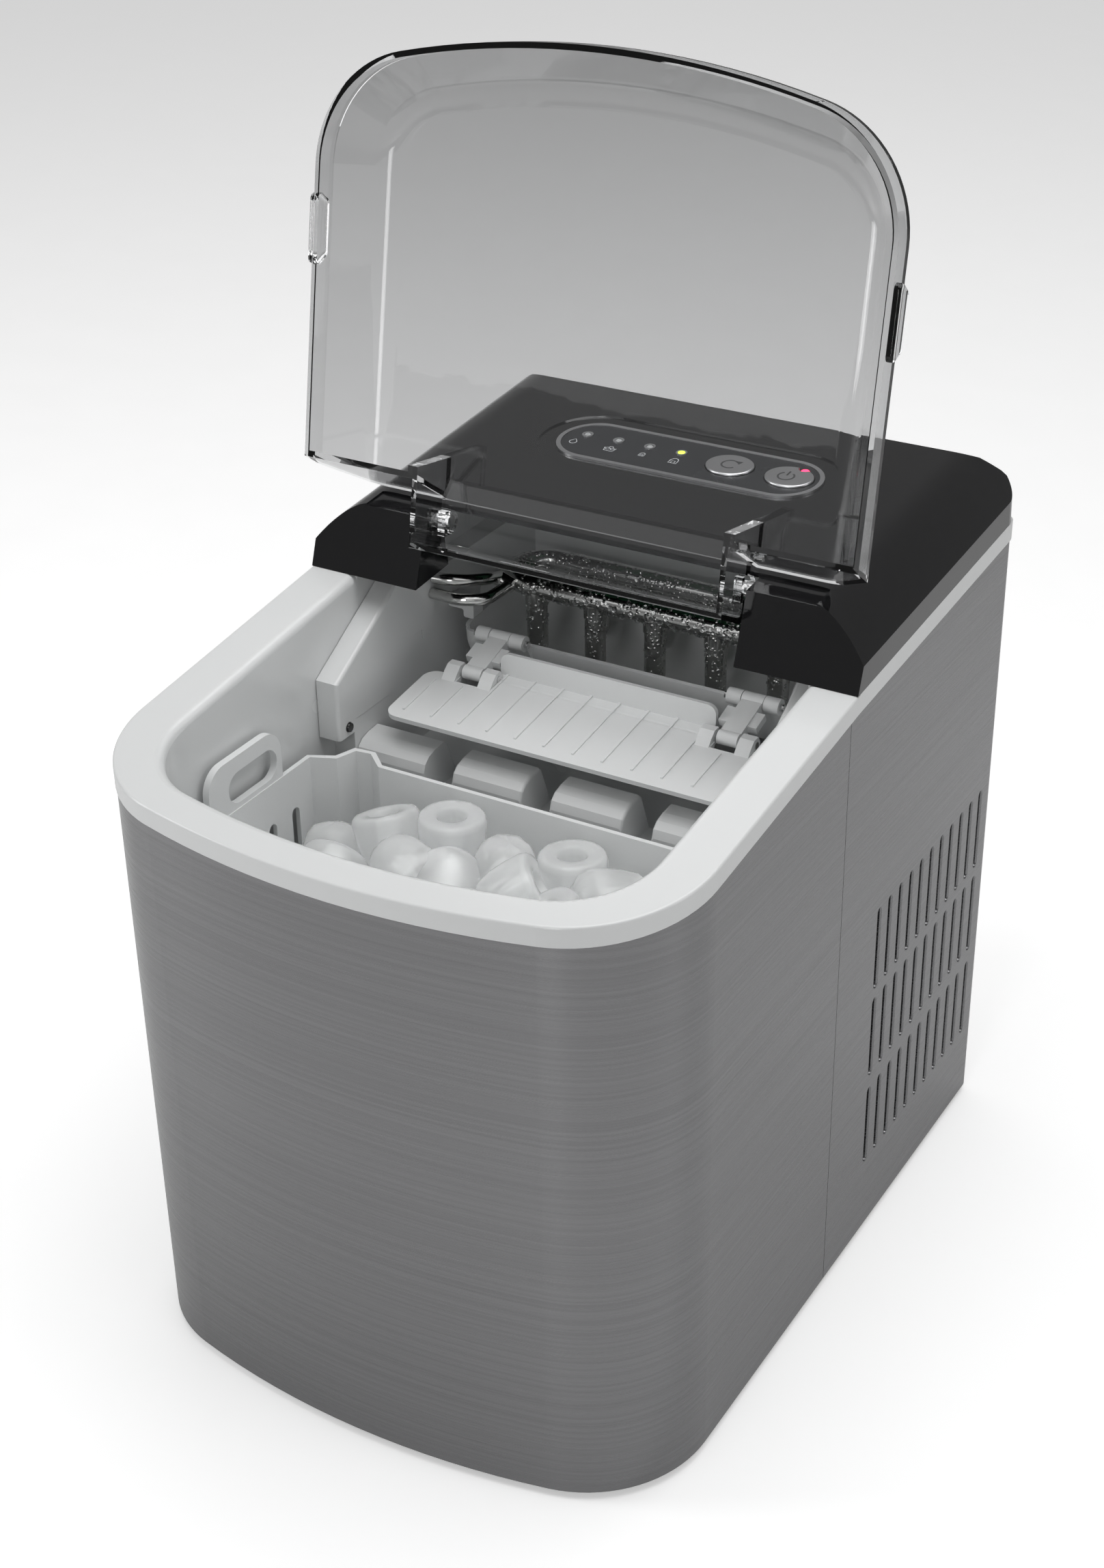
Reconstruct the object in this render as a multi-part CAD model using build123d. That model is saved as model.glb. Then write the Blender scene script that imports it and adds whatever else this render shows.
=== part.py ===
from build123d import *
import os
from math import atan2, cos, pi, radians, sin, sqrt, tan

os.makedirs("parts", exist_ok=True)

# Countertop ice maker, in millimetres. X is to the right, +Y to the rear, Z up.
# The origin is under the middle of the cabinet, on the table.

# ---- driving dimensions -------------------------------------------------
HALF_W = 121.0            # half width of the cabinet
Y_FRONT = -165.0          # front of the curved face
Y_REAR = 162.5            # flat back of the cabinet
COVER_BACK = 165.0        # back of the cover, which overhangs the cabinet
CORNER_R = 52.5           # front corner radius, seen from above
FRONT_R = 349.0           # bow of the front face, seen from above
REAR_R = 6.0              # rear corner radius
TILT = 6.958              # slope of the rim under the lid and of the ice mechanism, in degrees
COVER_TILT = 4.4          # slope of the rim and the cover behind the lid, in degrees
KNEE_Y = 8.0              # where the two slopes meet
RIM_Z = 274.24            # height of the rim's top face at y = 0
RIM_H = 8.0               # thickness of the white rim
SKIN = 0.8                # steel sheet
SKIN_INSET = 0.5          # the steel sits this far inside the rim
SKIN_Z = 4.0              # lower edge of the steel
SEAM_Y = 2.5              # joint between front wrap and side panels
SEAM_GAP = 0.3
WALL = 2.5                # moulded wall
GAP = 0.3                 # clearance between separate pieces

LINER_W = 100.3           # inner half width of the liner
LINER_FRONT = -149.0      # inner front of the liner
LINER_CORNER_R = 36.0
LINER_FRONT_R = 333.0
WELL_BACK = -16.0         # rear wall of the deep front well
WELL_Z = 60.5             # floor of the well, which is the water tank
SHELF_Z = 190.5           # floor under the freezing tray
SHELF_BACK = 132.0
LEDGE_X = 90.3            # inner face of the side ledges

COVER_CREASE = 10.4       # height of the cover's upright edge above the rim
COVER_TOP = 27.9          # height of the cover's top above the rim
COVER_SHELF = 26.7        # lower landing behind each hinge housing's front edge
COVER_EDGE_Y = 22.3       # front edge of the roof between the hinge housings
NOTCH_X = 70.5            # inner side of the hinge housings
HOUSING_FOOT = -2.0       # lower front edge of the hinge housings
HOUSING_SLOPE = 0.44      # backward lean of the housing's face, per millimetre of height

HINGE_Y = 25.45           # lid hinge, in the sloping frame of the rim
HINGE_Z = 22.8
LID_OPEN = 106.96         # opening angle, in degrees
LID_W = 119.3             # half width of the lid's lower edge
LID_LEN = 167.2
LID_TOP = 26.4
LID_CREASE = 9.9
LID_WALL = 2.2
LID_Y = 5.0               # rear lower edge of the closed lid, in the rim frame
LID_Z = 0.5
TONGUE_X = 68.3           # half width of the lid's hinge tongue
PIN_R = 3.0
RUN = 0.06                # radial running clearance

TRAY_Y = 88.0             # pivot of the freezing tray
TRAY_Z = 238.0
TRAY_R = 33.2
TRAY_X = 83.0
TRAY_WALL = 2.0
FINGER_PITCH = 28.3
FINGER_R = 4.5
TUBE_R = 4.6
TUBE_Z = 251.5
ROW_FRONT_Y = 76.0
ROW_REAR_Y = 104.0

BASKET_W = 96.5
BASKET_FRONT = -144.0
BASKET_BACK = -31.0
BASKET_Z = 112.0
BASKET_TOP = 215.0
BASKET_WALL = 2.0

VENT_ROWS = (58.3, 103.1, 146.2)   # middle heights of the slot rows
VENT_LEN = 38.8
VENT_W = 4.2
VENT_PITCH = 10.65
VENT_COUNT = 11
VENT_Y = 40.6

PANEL_X = 0.8             # middle of the control panel
PANEL_Y = 97.0            # in the frame of the cover
PANEL_LEN = 119.0
PANEL_W = 33.0
BUTTON_A = 10.2
BUTTON_B = 8.8
BUTTON_X = (19.7, 46.1)
BUTTON_Y = 97.6
LIGHT_X = (-48.1, -33.4, -18.7, -4.0)
LIGHT_Y = 100.8
POWER_LIGHT = (49.2, 105.9)

RIM = Pos(0, 0, RIM_Z) * Rot(TILT, 0, 0)
KNEE_Z = RIM_Z + KNEE_Y * tan(radians(TILT))
COVER = Pos(0, KNEE_Y, KNEE_Z) * Rot(COVER_TILT, 0, 0)
MECH = Pos(0, TRAY_Y, TRAY_Z) * Rot(TILT, 0, 0)
HINGE = (0, HINGE_Y * cos(radians(TILT)) - HINGE_Z * sin(radians(TILT)),
         RIM_Z + HINGE_Y * sin(radians(TILT)) + HINGE_Z * cos(radians(TILT)))
PIVOT_Y = ((HINGE[1] - KNEE_Y) * cos(radians(COVER_TILT))
           + (HINGE[2] - KNEE_Z) * sin(radians(COVER_TILT)))
PIVOT_Z = ((HINGE[2] - KNEE_Z) * cos(radians(COVER_TILT))
           - (HINGE[1] - KNEE_Y) * sin(radians(COVER_TILT)))
BIG = 600.0
DOWN = (Align.CENTER, Align.CENTER, Align.MAX)
UP = (Align.CENTER, Align.CENTER, Align.MIN)
ALONG_X = Rot(0, 90, 0)
ALONG_Y = Rot(-90, 0, 0)


# ---- helpers ------------------------------------------------------------
def save(shape, name, color):
    """Write one sub-part to its own STEP file."""
    shape.label = name
    shape.color = Color(*color)
    export_step(shape, f"parts/{name}.step")


def upright(face):
    """The same face with its normal pointing up."""
    return face if face.normal_at().Z > 0 else -face


def bowed_outline(half_w, y_front, r_corner, r_front, y_back, r_back=0.0):
    """Plan outline with a bowed front, round front corners and a flat back."""
    cx = half_w - r_corner
    mid_y = y_front + r_front
    cy = mid_y - sqrt((r_front - r_corner) ** 2 - cx ** 2)
    ang = atan2(cy - mid_y, cx)
    tip = (r_front * cos(ang), mid_y + r_front * sin(ang))
    mid = (cx + r_corner * cos(ang / 2), cy + r_corner * sin(ang / 2))
    y_side = y_back - r_back
    edges = [Line((half_w, cy), (half_w, y_side))]
    if r_back:
        k = r_back * (1 - sqrt(0.5))
        edges += [
            ThreePointArc((half_w, y_side), (half_w - k, y_back - k), (half_w - r_back, y_back)),
            Line((half_w - r_back, y_back), (-half_w + r_back, y_back)),
            ThreePointArc((-half_w + r_back, y_back), (-half_w + k, y_back - k), (-half_w, y_side)),
        ]
    else:
        edges.append(Line((half_w, y_back), (-half_w, y_back)))
    edges += [
        Line((-half_w, y_side), (-half_w, cy)),
        ThreePointArc((-half_w, cy), (-mid[0], mid[1]), (-tip[0], tip[1])),
        ThreePointArc((-tip[0], tip[1]), (0, y_front), tip),
        ThreePointArc(tip, mid, (half_w, cy)),
    ]
    return Face(Wire(edges))


def prism(face, z_low, z_high):
    """Extrude a plan outline between two heights."""
    return Pos(0, 0, z_low) * extrude(face, z_high - z_low)


def box(x, y, z):
    """Box from three (low, high) ranges."""
    size = (x[1] - x[0], y[1] - y[0], z[1] - z[0])
    return Pos((x[0] + x[1]) / 2, (y[0] + y[1]) / 2, (z[0] + z[1]) / 2) * Box(*size)


def side_plate(points, x_low, x_high):
    """Extrude a polygon drawn in (y, z) along X."""
    face = upright(Face(Wire(Polyline(*points, close=True).edges())))
    return Pos(x_low, 0, 0) * Rot(90, 90, 0) * extrude(face, x_high - x_low)


def rim_z(y):
    """Height of the rim's top face at a depth."""
    if y < KNEE_Y:
        return RIM_Z + y * tan(radians(TILT))
    return KNEE_Z + (y - KNEE_Y) * tan(radians(COVER_TILT))


def rim_region(offset, far_z):
    """Everything between a line parallel to the rim and a far height."""
    line = [(y, rim_z(y) + offset) for y in (-BIG, KNEE_Y, BIG)]
    return side_plate(line + [(BIG, far_z), (-BIG, far_z)], -BIG, BIG)


def above_rim(offset):
    """Everything above a line parallel to the rim."""
    return rim_region(offset, 2 * BIG)


def below_rim(offset):
    """Everything below a line parallel to the rim."""
    return rim_region(offset, -2 * BIG)


def rod(start, end, radius):
    """Round bar between two points."""
    a = Vector(*start)
    d = Vector(*end) - a
    return Plane(origin=a, z_dir=d) * Cylinder(radius, d.length, align=UP)


def tube(points, radii, radius, bore=0.0):
    """Pipe of straight runs joined by tangent arcs."""
    path = FilletPolyline(*points, radius=radii)
    first = Vector(*points[1]) - Vector(*points[0])
    plane = Plane(origin=Vector(*points[0]), z_dir=first)
    pipe = sweep(plane * Circle(radius), path=path)
    if bore:
        pipe -= sweep(plane * Circle(bore), path=path)
    return pipe


def mirror_x(shape):
    return mirror(shape, about=Plane.YZ)


def pill(length, width, depth, x=0.0, y=0.0):
    """Slot-shaped plate, long side along X."""
    return Pos(x, y, 0) * extrude(SlotOverall(length, width), depth)


# ---- base and cabinet ---------------------------------------------------
PAN_Z = 3.0
PAN_H = 15.0
PAN_WALL = 3.0
PAN_CLEAR = SKIN_INSET + SKIN + GAP


def base_pan():
    """Plastic base that the steel skin, tank and compressor stand on."""
    outer = bowed_outline(HALF_W - PAN_CLEAR, Y_FRONT + PAN_CLEAR, CORNER_R - PAN_CLEAR,
                          FRONT_R - PAN_CLEAR, Y_REAR - PAN_CLEAR, REAR_R - PAN_CLEAR)
    inset = PAN_CLEAR + PAN_WALL
    inner = bowed_outline(HALF_W - inset, Y_FRONT + inset, CORNER_R - inset,
                          FRONT_R - inset, Y_REAR - inset, REAR_R - PAN_CLEAR)
    pan = prism(outer, PAN_Z, PAN_Z + PAN_H) - prism(inner, PAN_Z + PAN_WALL, PAN_Z + PAN_H)
    notch = box((DRAIN_X - 15, DRAIN_X + 15), (150, Y_REAR), (DRAIN_Z - 15, DRAIN_Z + 15))
    return pan - notch


FOOT_X = 92.0
FOOT_Y = (-112.0, 132.0)
FOOT_R = 12.0


def foot(x, y):
    """Rubber foot with a bevelled lower edge."""
    pad = Cylinder(FOOT_R, PAN_Z, align=UP)
    pad = chamfer(pad.edges().group_by(Axis.Z)[0], 0.8)
    return Pos(x, y, 0) * pad


def front_wrap():
    """Brushed steel sheet that wraps the front and both sides up to the seam."""
    i = SKIN_INSET
    j = SKIN_INSET + SKIN
    outer = bowed_outline(HALF_W - i, Y_FRONT + i, CORNER_R - i, FRONT_R - i, SEAM_Y - SEAM_GAP)
    inner = bowed_outline(HALF_W - j, Y_FRONT + j, CORNER_R - j, FRONT_R - j, SEAM_Y)
    sheet = prism(outer, SKIN_Z, BIG) - prism(inner, 0, BIG)
    return sheet - above_rim(-RIM_H)


BACK_LIP = 20.0           # the side panels return this far round the back


def side_panel(side):
    """Steel side panel with three rows of upright vent slots."""
    x_out = HALF_W - SKIN_INSET
    y_out = Y_REAR - SKIN_INSET
    outer = bowed_outline(x_out, Y_FRONT, CORNER_R, FRONT_R, y_out, REAR_R)
    inner = bowed_outline(x_out - SKIN, Y_FRONT, CORNER_R, FRONT_R, y_out - SKIN, REAR_R - SKIN)
    sheet = prism(outer, SKIN_Z, BIG) - prism(inner, 0, BIG)
    keep = box((x_out - BACK_LIP, HALF_W), (SEAM_Y, Y_REAR), (0, BIG))
    sheet = (sheet & keep) - above_rim(-RIM_H)
    slot = ALONG_X * extrude(SlotOverall(VENT_LEN, VENT_W), 10, both=True)
    for z in VENT_ROWS:
        for i in range(VENT_COUNT):
            sheet -= Pos(x_out, VENT_Y + i * VENT_PITCH, z) * slot
    return sheet if side > 0 else mirror_x(sheet)


DRAIN_X = 70.0
DRAIN_Z = 30.0
DRAIN_R = 6.0
CAP_R = 9.5
INLET_X = -72.0
INLET_Z = 42.0
INLET_W = 27.0
INLET_H = 20.0
BACK_SCREWS = [(x, z) for z in (22.0, 150.0, 262.0) for x in (-92.0, 92.0)]
SCREW_R = 1.6


def back_panel():
    """Flat steel back with louvre slots and openings for inlet and drain."""
    x = HALF_W - SKIN_INSET - BACK_LIP - GAP
    y = (Y_REAR - SKIN_INSET - SKIN, Y_REAR - SKIN_INSET)
    sheet = box((-x, x), y, (SKIN_Z, BIG)) - above_rim(-RIM_H)
    slot = ALONG_Y * extrude(SlotOverall(70, VENT_W), 10, both=True)
    for i in range(9):
        sheet -= Pos(0, Y_REAR, 70 + i * 10.5) * slot
    sheet -= box((INLET_X - INLET_W / 2, INLET_X + INLET_W / 2), (150, BIG),
                 (INLET_Z - INLET_H / 2, INLET_Z + INLET_H / 2))
    sheet -= Pos(DRAIN_X, Y_REAR, DRAIN_Z) * ALONG_Y * Cylinder(CAP_R + 1.5, 20)
    for sx, sz in BACK_SCREWS:
        sheet -= Pos(sx, Y_REAR, sz) * ALONG_Y * Cylinder(SCREW_R + GAP, 20)
    return sheet


def back_screws():
    """Six pan-head screws that hold the back panel, as one group."""
    parts = []
    for sx, sz in BACK_SCREWS:
        head = Cylinder(3.4, 0.45, align=UP)
        shank = Cylinder(SCREW_R, 9, align=DOWN)
        slot = Pos(0, 0, 0.35) * Box(4.5, 0.8, 0.4) + Pos(0, 0, 0.35) * Box(0.8, 4.5, 0.4)
        parts.append(Pos(sx, Y_REAR - SKIN_INSET, sz) * ALONG_Y * (head + shank - slot))
    return Compound(children=parts)


# ---- white liner with its rim -------------------------------------------
BLOCK_W = 32.6
BLOCK_PITCH = 45.5
BLOCK_X = (-28.2, 17.3, 62.8)      # middles of the three whole blocks
BLOCK_FRONT = -13.5
BLOCK_BACK = 3.5
BLOCK_TOP = 212.0
SENSOR_SHAPE = [(-24.6, 215.8), (-24.6, 241.5), (20.0, 267.2), (28.0, 273.5), (60.0, 273.5),
                (58.0, 264.0), (49.0, 258.4), (47.4, 236.7), (38.3, 236.0), (38.0, 239.8),
                (31.0, 239.8), (30.3, 231.2), (12.4, 221.2), (-12.4, 221.2), (-14.6, 215.8)]
LEDGE_SHAPE = [(-14.0, 189.5), (133.0, 189.5), (133.0, 262.0), (45.0, 262.0), (20.0, 250.0),
               (0.0, 235.0), (-13.5, 226.0), (-14.0, 218.0)]
PASS_X = (56.0, 98.0)              # opening in the rim's rear flange for the refrigerant lines
PASS_Y = (138.0, 156.0)
STUB_R = 4.0                       # tray pivot stubs
SUCTION_X = -40.0
SUCTION_Z = 72.0
FILL_Z = 244.5            # nozzle that refills the tray
SPIGOT_R = 4.0


def sensor_face(grow=0.0):
    face = upright(Face(Wire(Polyline(*SENSOR_SHAPE, close=True).edges())))
    return offset(face, amount=grow) if grow else face


def sensor_block(grow, x_low, x_high):
    """The sensor cover's side profile, extruded along X on the right-hand side."""
    return Pos(x_low, 0, 0) * Rot(90, 90, 0) * extrude(sensor_face(grow), x_high - x_low)


def inner_liner():
    """White moulding: rim, deep well, freezing shelf and side ledges in one piece."""
    well = bowed_outline(LINER_W + WALL, LINER_FRONT - WALL, LINER_CORNER_R + WALL,
                         LINER_FRONT_R + WALL, WELL_BACK + WALL)
    hollow = bowed_outline(LINER_W, LINER_FRONT, LINER_CORNER_R, LINER_FRONT_R, WELL_BACK)
    rim = bowed_outline(HALF_W, Y_FRONT, CORNER_R, FRONT_R, Y_REAR, REAR_R)
    opening = bowed_outline(LINER_W, LINER_FRONT, LINER_CORNER_R, LINER_FRONT_R, SHELF_BACK)
    body = prism(well, WELL_Z - WALL, BIG)
    body += box((-LINER_W - WALL, LINER_W + WALL), (WELL_BACK, SHELF_BACK + WALL), (SHELF_Z - WALL, BIG))
    body -= prism(hollow, WELL_Z, BIG)
    body -= box((-LINER_W, LINER_W), (WELL_BACK - 30, SHELF_BACK), (SHELF_Z, BIG))
    body -= above_rim(-5)
    band = prism(rim, 200, BIG) - below_rim(-RIM_H) - above_rim(0) - prism(opening, 0, BIG)
    front = band & box((-BIG, BIG), (-BIG, KNEE_Y), (-BIG, BIG))
    rear = band & box((-BIG, BIG), (KNEE_Y, BIG), (-BIG, BIG))
    front = fillet([e for e in front.edges() if on_rim_lip(e) and inner_lip(e)], 3.6)
    front = fillet([e for e in front.edges() if on_rim_lip(e) and not inner_lip(e)], 1.0)
    body += front + rear
    body -= box(PASS_X, PASS_Y, (240, BIG))
    ledge = side_plate(LEDGE_SHAPE, LEDGE_X, LINER_W + 0.5)
    ledge -= sensor_block(GAP, LEDGE_X - 5, LINER_W + 5)
    ledge += mirror_x(ledge)
    body += ledge
    for y in (-118, -48):
        for x in (-62, 62):
            body += box((x - 6, x + 6), (y - 6, y + 6), (WELL_Z - 1, BASKET_Z - 0.05))
    body -= Pos(0, TRAY_Y, TRAY_Z) * ALONG_X * Cylinder(STUB_R + RUN, BIG)
    body -= box((88, 120), (TRAY_Y - 22, TRAY_Y + 22), (TRAY_Z - 22, TRAY_Z + 22))
    body += Pos(SUCTION_X, WELL_BACK + WALL - 0.1, SUCTION_Z) * ALONG_Y * Cylinder(SPIGOT_R, 9, align=UP)
    body -= rod((-BIG, 62, FILL_Z), (-50, 62, FILL_Z), 3.0)
    body -= Pos(SUCTION_X, WELL_BACK - 1, SUCTION_Z) * ALONG_Y * Cylinder(2.5, 14, align=UP)
    body += Pos(DRAIN_X - 20, -60, WELL_Z - WALL + 0.1) * Cylinder(SPIGOT_R + 1, 9, align=DOWN)
    body -= Pos(DRAIN_X - 20, -60, WELL_Z + 1) * Cylinder(3.5, 16, align=DOWN)
    return body


def on_rim_lip(edge):
    """True for the long edges of the rim's top face."""
    points = [edge @ 0, edge @ 0.5, edge @ 1]
    if any(abs(p.Z - rim_z(p.Y)) > 0.05 for p in points):
        return False
    return not all(abs(p.Y - KNEE_Y) < 0.01 for p in points)


def inner_lip(edge):
    """True for edges beside the well, not round the outside."""
    mid = edge @ 0.5
    return abs(mid.X) < LINER_W + 1 and mid.Y > LINER_FRONT - 1


def ice_guide():
    """Row of rounded blocks over which the shovel pushes the ice."""
    profile = [(BLOCK_FRONT, SHELF_Z), (BLOCK_FRONT, BLOCK_TOP - 7.5), (BLOCK_FRONT + 1.2, BLOCK_TOP - 4),
               (BLOCK_FRONT + 4.2, BLOCK_TOP - 1.6), (BLOCK_FRONT + 9.0, BLOCK_TOP - 0.4),
               (BLOCK_BACK - 1.5, BLOCK_TOP), (BLOCK_BACK + 0.4, BLOCK_TOP - 1.6),
               (BLOCK_BACK + 8.0, SHELF_Z)]
    bar = box((-LEDGE_X + GAP, LEDGE_X - GAP), (BLOCK_FRONT + 1, BLOCK_BACK + 6), (SHELF_Z, SHELF_Z + 3))
    whole = side_plate(profile, -BLOCK_W / 2, BLOCK_W / 2)
    top_edges = [e for e in whole.edges() if abs(abs((e @ 0.5).X) - BLOCK_W / 2) < 0.01 and (e @ 0.5).Z > 198]
    whole = fillet(top_edges, 1.4)
    guide = bar
    for x in BLOCK_X:
        guide += Pos(x, 0, 0) * whole
    left_end = BLOCK_X[0] - BLOCK_PITCH + BLOCK_W / 2
    guide += side_plate(profile, -LEDGE_X + GAP, left_end)
    return guide


# ---- sensor covers ------------------------------------------------------
EYE_Y = -17.8
EYE_Z = 219.6
EYE_R = 2.1


def sensor_cover(side):
    """Side cover whose arm carries the ice level eye; hollow towards the wall."""
    x_in = LEDGE_X - 0.3
    cover = sensor_block(0, x_in, LINER_W - GAP)
    front = [e for e in cover.edges()
             if abs((e @ 0.5).X - x_in) < 0.01 and (e @ 0.5).Y < 12 and (e @ 0.5).Z > 222]
    cover = fillet(front, 1.6)
    cover -= sensor_block(-1.8, x_in + 1.8, LINER_W)
    cover -= Pos(x_in - 1, EYE_Y, EYE_Z) * ALONG_X * Cylinder(EYE_R + 0.15, 12, align=UP)
    return cover if side > 0 else mirror_x(cover)


def sensor_eye(side):
    """Round infrared eye with a domed front."""
    x_in = LEDGE_X - 0.3
    eye = Cylinder(EYE_R, 6, align=UP) + Sphere(EYE_R)
    eye = eye & Pos(0, 0, -0.9) * Box(10, 10, 20, align=UP)
    eye = Pos(x_in, EYE_Y, EYE_Z) * ALONG_X * eye
    return eye if side > 0 else mirror_x(eye)


# ---- black top cover ----------------------------------------------------
def cover_section(inset):
    """Cross section of the cover, with its sloping round shoulders."""
    x = HALF_W - inset
    top = COVER_TOP - inset
    k = inset
    right = [(x, COVER_CREASE - 0.4 * k), (113.5 - 0.72 * k, 18.6 - 0.72 * k),
             (104.6 - 0.55 * k, 25.2 - 0.85 * k), (94.0 - 0.2 * k, top)]
    left = [(-px, pz) for px, pz in reversed(right)]
    edges = [
        Line((x, -1), right[0]),
        Spline(*right, tangents=[(-0.62, 0.78), (-1, 0)]),
        Line(right[-1], left[0]),
        Spline(*left, tangents=[(-1, 0), (-0.62, -0.78)]),
        Line(left[-1], (-x, -1)),
        Line((-x, -1), (x, -1)),
    ]
    return upright(Face(Wire(edges)))


def cover_solid(inset):
    """Outer form of the cover, or its hollow when inset, in the frame of the cover."""
    top = COVER_TOP - inset
    back = (COVER_BACK - KNEE_Y) / cos(radians(COVER_TILT)) - inset
    along = Rot(90, 0, 0) * extrude(cover_section(inset), BIG, both=True)
    low = HOUSING_FOOT + inset * 1.09
    side = [(low - HOUSING_SLOPE, -1), (low + HOUSING_SLOPE * (top + 1), top + 1),
            (back - 11.5, top + 1), (back - 11.5, top), (back - 6.5, top - 3.0),
            (back - 2.4, top - 9.0), (back, COVER_CREASE), (back, -1)]
    lengthwise = side_plate(side, -BIG / 2, BIG / 2)
    plan = Pos(0, (back - 100) / 2, 0) * RectangleRounded(2 * (HALF_W - inset), back + 100, 12 - inset)
    return along & lengthwise & prism(plan, -1, top + 2)


def top_cover():
    """Black cover with the two hinge housings and the seat for the control panel."""
    outer = cover_solid(0)
    inner = cover_solid(WALL)
    notch = box((-NOTCH_X, NOTCH_X), (-20, COVER_EDGE_Y), (-5, 60))
    wide = NOTCH_X + WALL
    inner -= box((-wide, wide), (-20, COVER_EDGE_Y), (-5, 60))
    landing = box((-99, 99), (0, COVER_EDGE_Y - 0.6), (COVER_SHELF, 60))
    shell = outer - notch - landing - inner
    for s in (-1, 1):
        ends = sorted((s * NOTCH_X, s * (NOTCH_X + 8)))
        boss = rod((ends[0], PIVOT_Y, PIVOT_Z), (ends[1], PIVOT_Y, PIVOT_Z), PIN_R + 3)
        shell += (boss & outer) - landing
        hole_end = s * (NOTCH_X + 5)
        shell -= rod((s * 60, PIVOT_Y, PIVOT_Z), (hole_end, PIVOT_Y, PIVOT_Z), PIN_R + RUN)
    border = Pos(0, 0, COVER_TOP - 0.7) * pill(PANEL_LEN + 16, PANEL_W + 16, 5, PANEL_X, PANEL_Y)
    shell -= chamfer(border.edges().group_by(Axis.Z)[0], 0.69)
    shell -= Pos(0, 0, COVER_TOP - 1.2) * pill(PANEL_LEN + 0.2, PANEL_W + 0.2, 5, PANEL_X, PANEL_Y)
    shell -= Pos(0, 0, COVER_TOP - 9) * pill(PANEL_LEN - 5, PANEL_W - 5, 20, PANEL_X, PANEL_Y)
    shell -= box((-BIG, BIG), (-BIG, BIG), (-5, 0.05))
    for x in (-52, 52):
        for y in (-22, 22):
            post = Pos(x, PANEL_Y + y, BOARD_Z + 1.6) * Cylinder(3, COVER_TOP - WALL - BOARD_Z - 1.2, align=UP)
            shell += post
    return COVER * shell


# ---- control panel ------------------------------------------------------
RING_W = 1.9


def panel_ring():
    """Silver outline round the control panel."""
    ring = pill(PANEL_LEN, PANEL_W, 1.5, PANEL_X, PANEL_Y)
    ring -= pill(PANEL_LEN - 2 * RING_W, PANEL_W - 2 * RING_W, 9, PANEL_X, PANEL_Y)
    return COVER * Pos(0, 0, COVER_TOP - 1.2) * ring


def panel_plate():
    """Dark plate inside the ring, with holes for the buttons and lights."""
    w = RING_W + 0.1
    plate = pill(PANEL_LEN - 2 * w, PANEL_W - 2 * w, 1.3, PANEL_X, PANEL_Y)
    for x in BUTTON_X:
        plate -= Pos(x, BUTTON_Y, -5) * extrude(Ellipse(BUTTON_A + GAP, BUTTON_B + GAP), 20)
    for x in LIGHT_X:
        plate -= Pos(x, LIGHT_Y, 0) * Cylinder(2.45, 20)
    plate -= Pos(*POWER_LIGHT, 0) * Cylinder(2.0, 20)
    return COVER * Pos(0, 0, COVER_TOP - 1.2) * plate


def button(i):
    """Silver push button with a stem that reaches its switch."""
    cap = extrude(Ellipse(BUTTON_A, BUTTON_B), 3.4)
    cap = fillet(cap.edges().group_by(Axis.Z)[-1], 0.7)
    x = BUTTON_X[i]
    if i == 1:
        px, py = POWER_LIGHT
        cap -= Pos(px - x, py - BUTTON_Y, 0) * Cylinder(2.6, 20)
    stem = Cylinder(2.0, 5.6, align=DOWN)
    return COVER * Pos(x, BUTTON_Y, COVER_TOP - 2.2) * (cap + stem)


def light_rings():
    """Four silver rings round the status lights, as one group."""
    rings = []
    for x in LIGHT_X:
        ring = Cylinder(2.4, 1.6, align=UP) - Cylinder(1.55, 9)
        rings.append(COVER * Pos(x, LIGHT_Y, COVER_TOP - 1.2) * ring)
    return Compound(children=rings)


def light_lens(x, y, radius):
    """Small domed light lens."""
    lens = Cylinder(radius, 2.0, align=UP)
    lens = fillet(lens.edges().group_by(Axis.Z)[-1], radius * 0.45)
    return COVER * Pos(x, y, COVER_TOP - 1.6) * lens


BOARD_Z = 15.0


def control_board():
    """Circuit board under the panel with two switches."""
    board = Pos(PANEL_X, PANEL_Y, BOARD_Z) * Box(116, 52, 1.6, align=UP)
    for x in BUTTON_X:
        board += Pos(x, BUTTON_Y, BOARD_Z + 1.5) * Box(6, 6, 2.4, align=UP)
    board += Pos(-38, PANEL_Y - 12, BOARD_Z + 1.5) * Box(14, 8, 3.5, align=UP)
    board += Pos(-10, PANEL_Y - 14, BOARD_Z + 1.5) * Box(10, 10, 1.6, align=UP)
    return COVER * board


# ---- clear lid ----------------------------------------------------------
def lid_dome(inset):
    """Closed dome of the lid, extended behind its rear edge."""
    base = bowed_outline(LID_W - inset, -LID_LEN + inset, 46.0 - inset, 370.0 - inset, 90)
    top = LID_TOP - inset
    crease = LID_CREASE - 0.4 * inset
    wall = prism(base, -1 if inset else 0, crease)
    slope = Pos(0, 0, crease) * extrude(base, top - crease, taper=46.3)
    rim = [e for e in slope.edges().group_by(Axis.Z)[-1] if (e @ 0.5).Y < 60]
    slope = fillet(rim, 16 - inset)
    return wall + slope


def tongue_shape(inset):
    """Side view of the hinge tongue in the lid's own frame."""
    if not inset:
        return [(-12, 0), (27.6, 0), (33.1, 16.9), (32.4, 19.6), (29.6, 21.5), (11.5, 21.5),
                (5.0, LID_TOP), (-12, LID_TOP)]
    return [(-13, -1), (25.2, -1), (30.8, 16.6), (30.4, 18.2), (28.6, 19.3), (10.6, 19.3),
            (4.2, LID_TOP - inset), (-13, LID_TOP - inset)]


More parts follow.
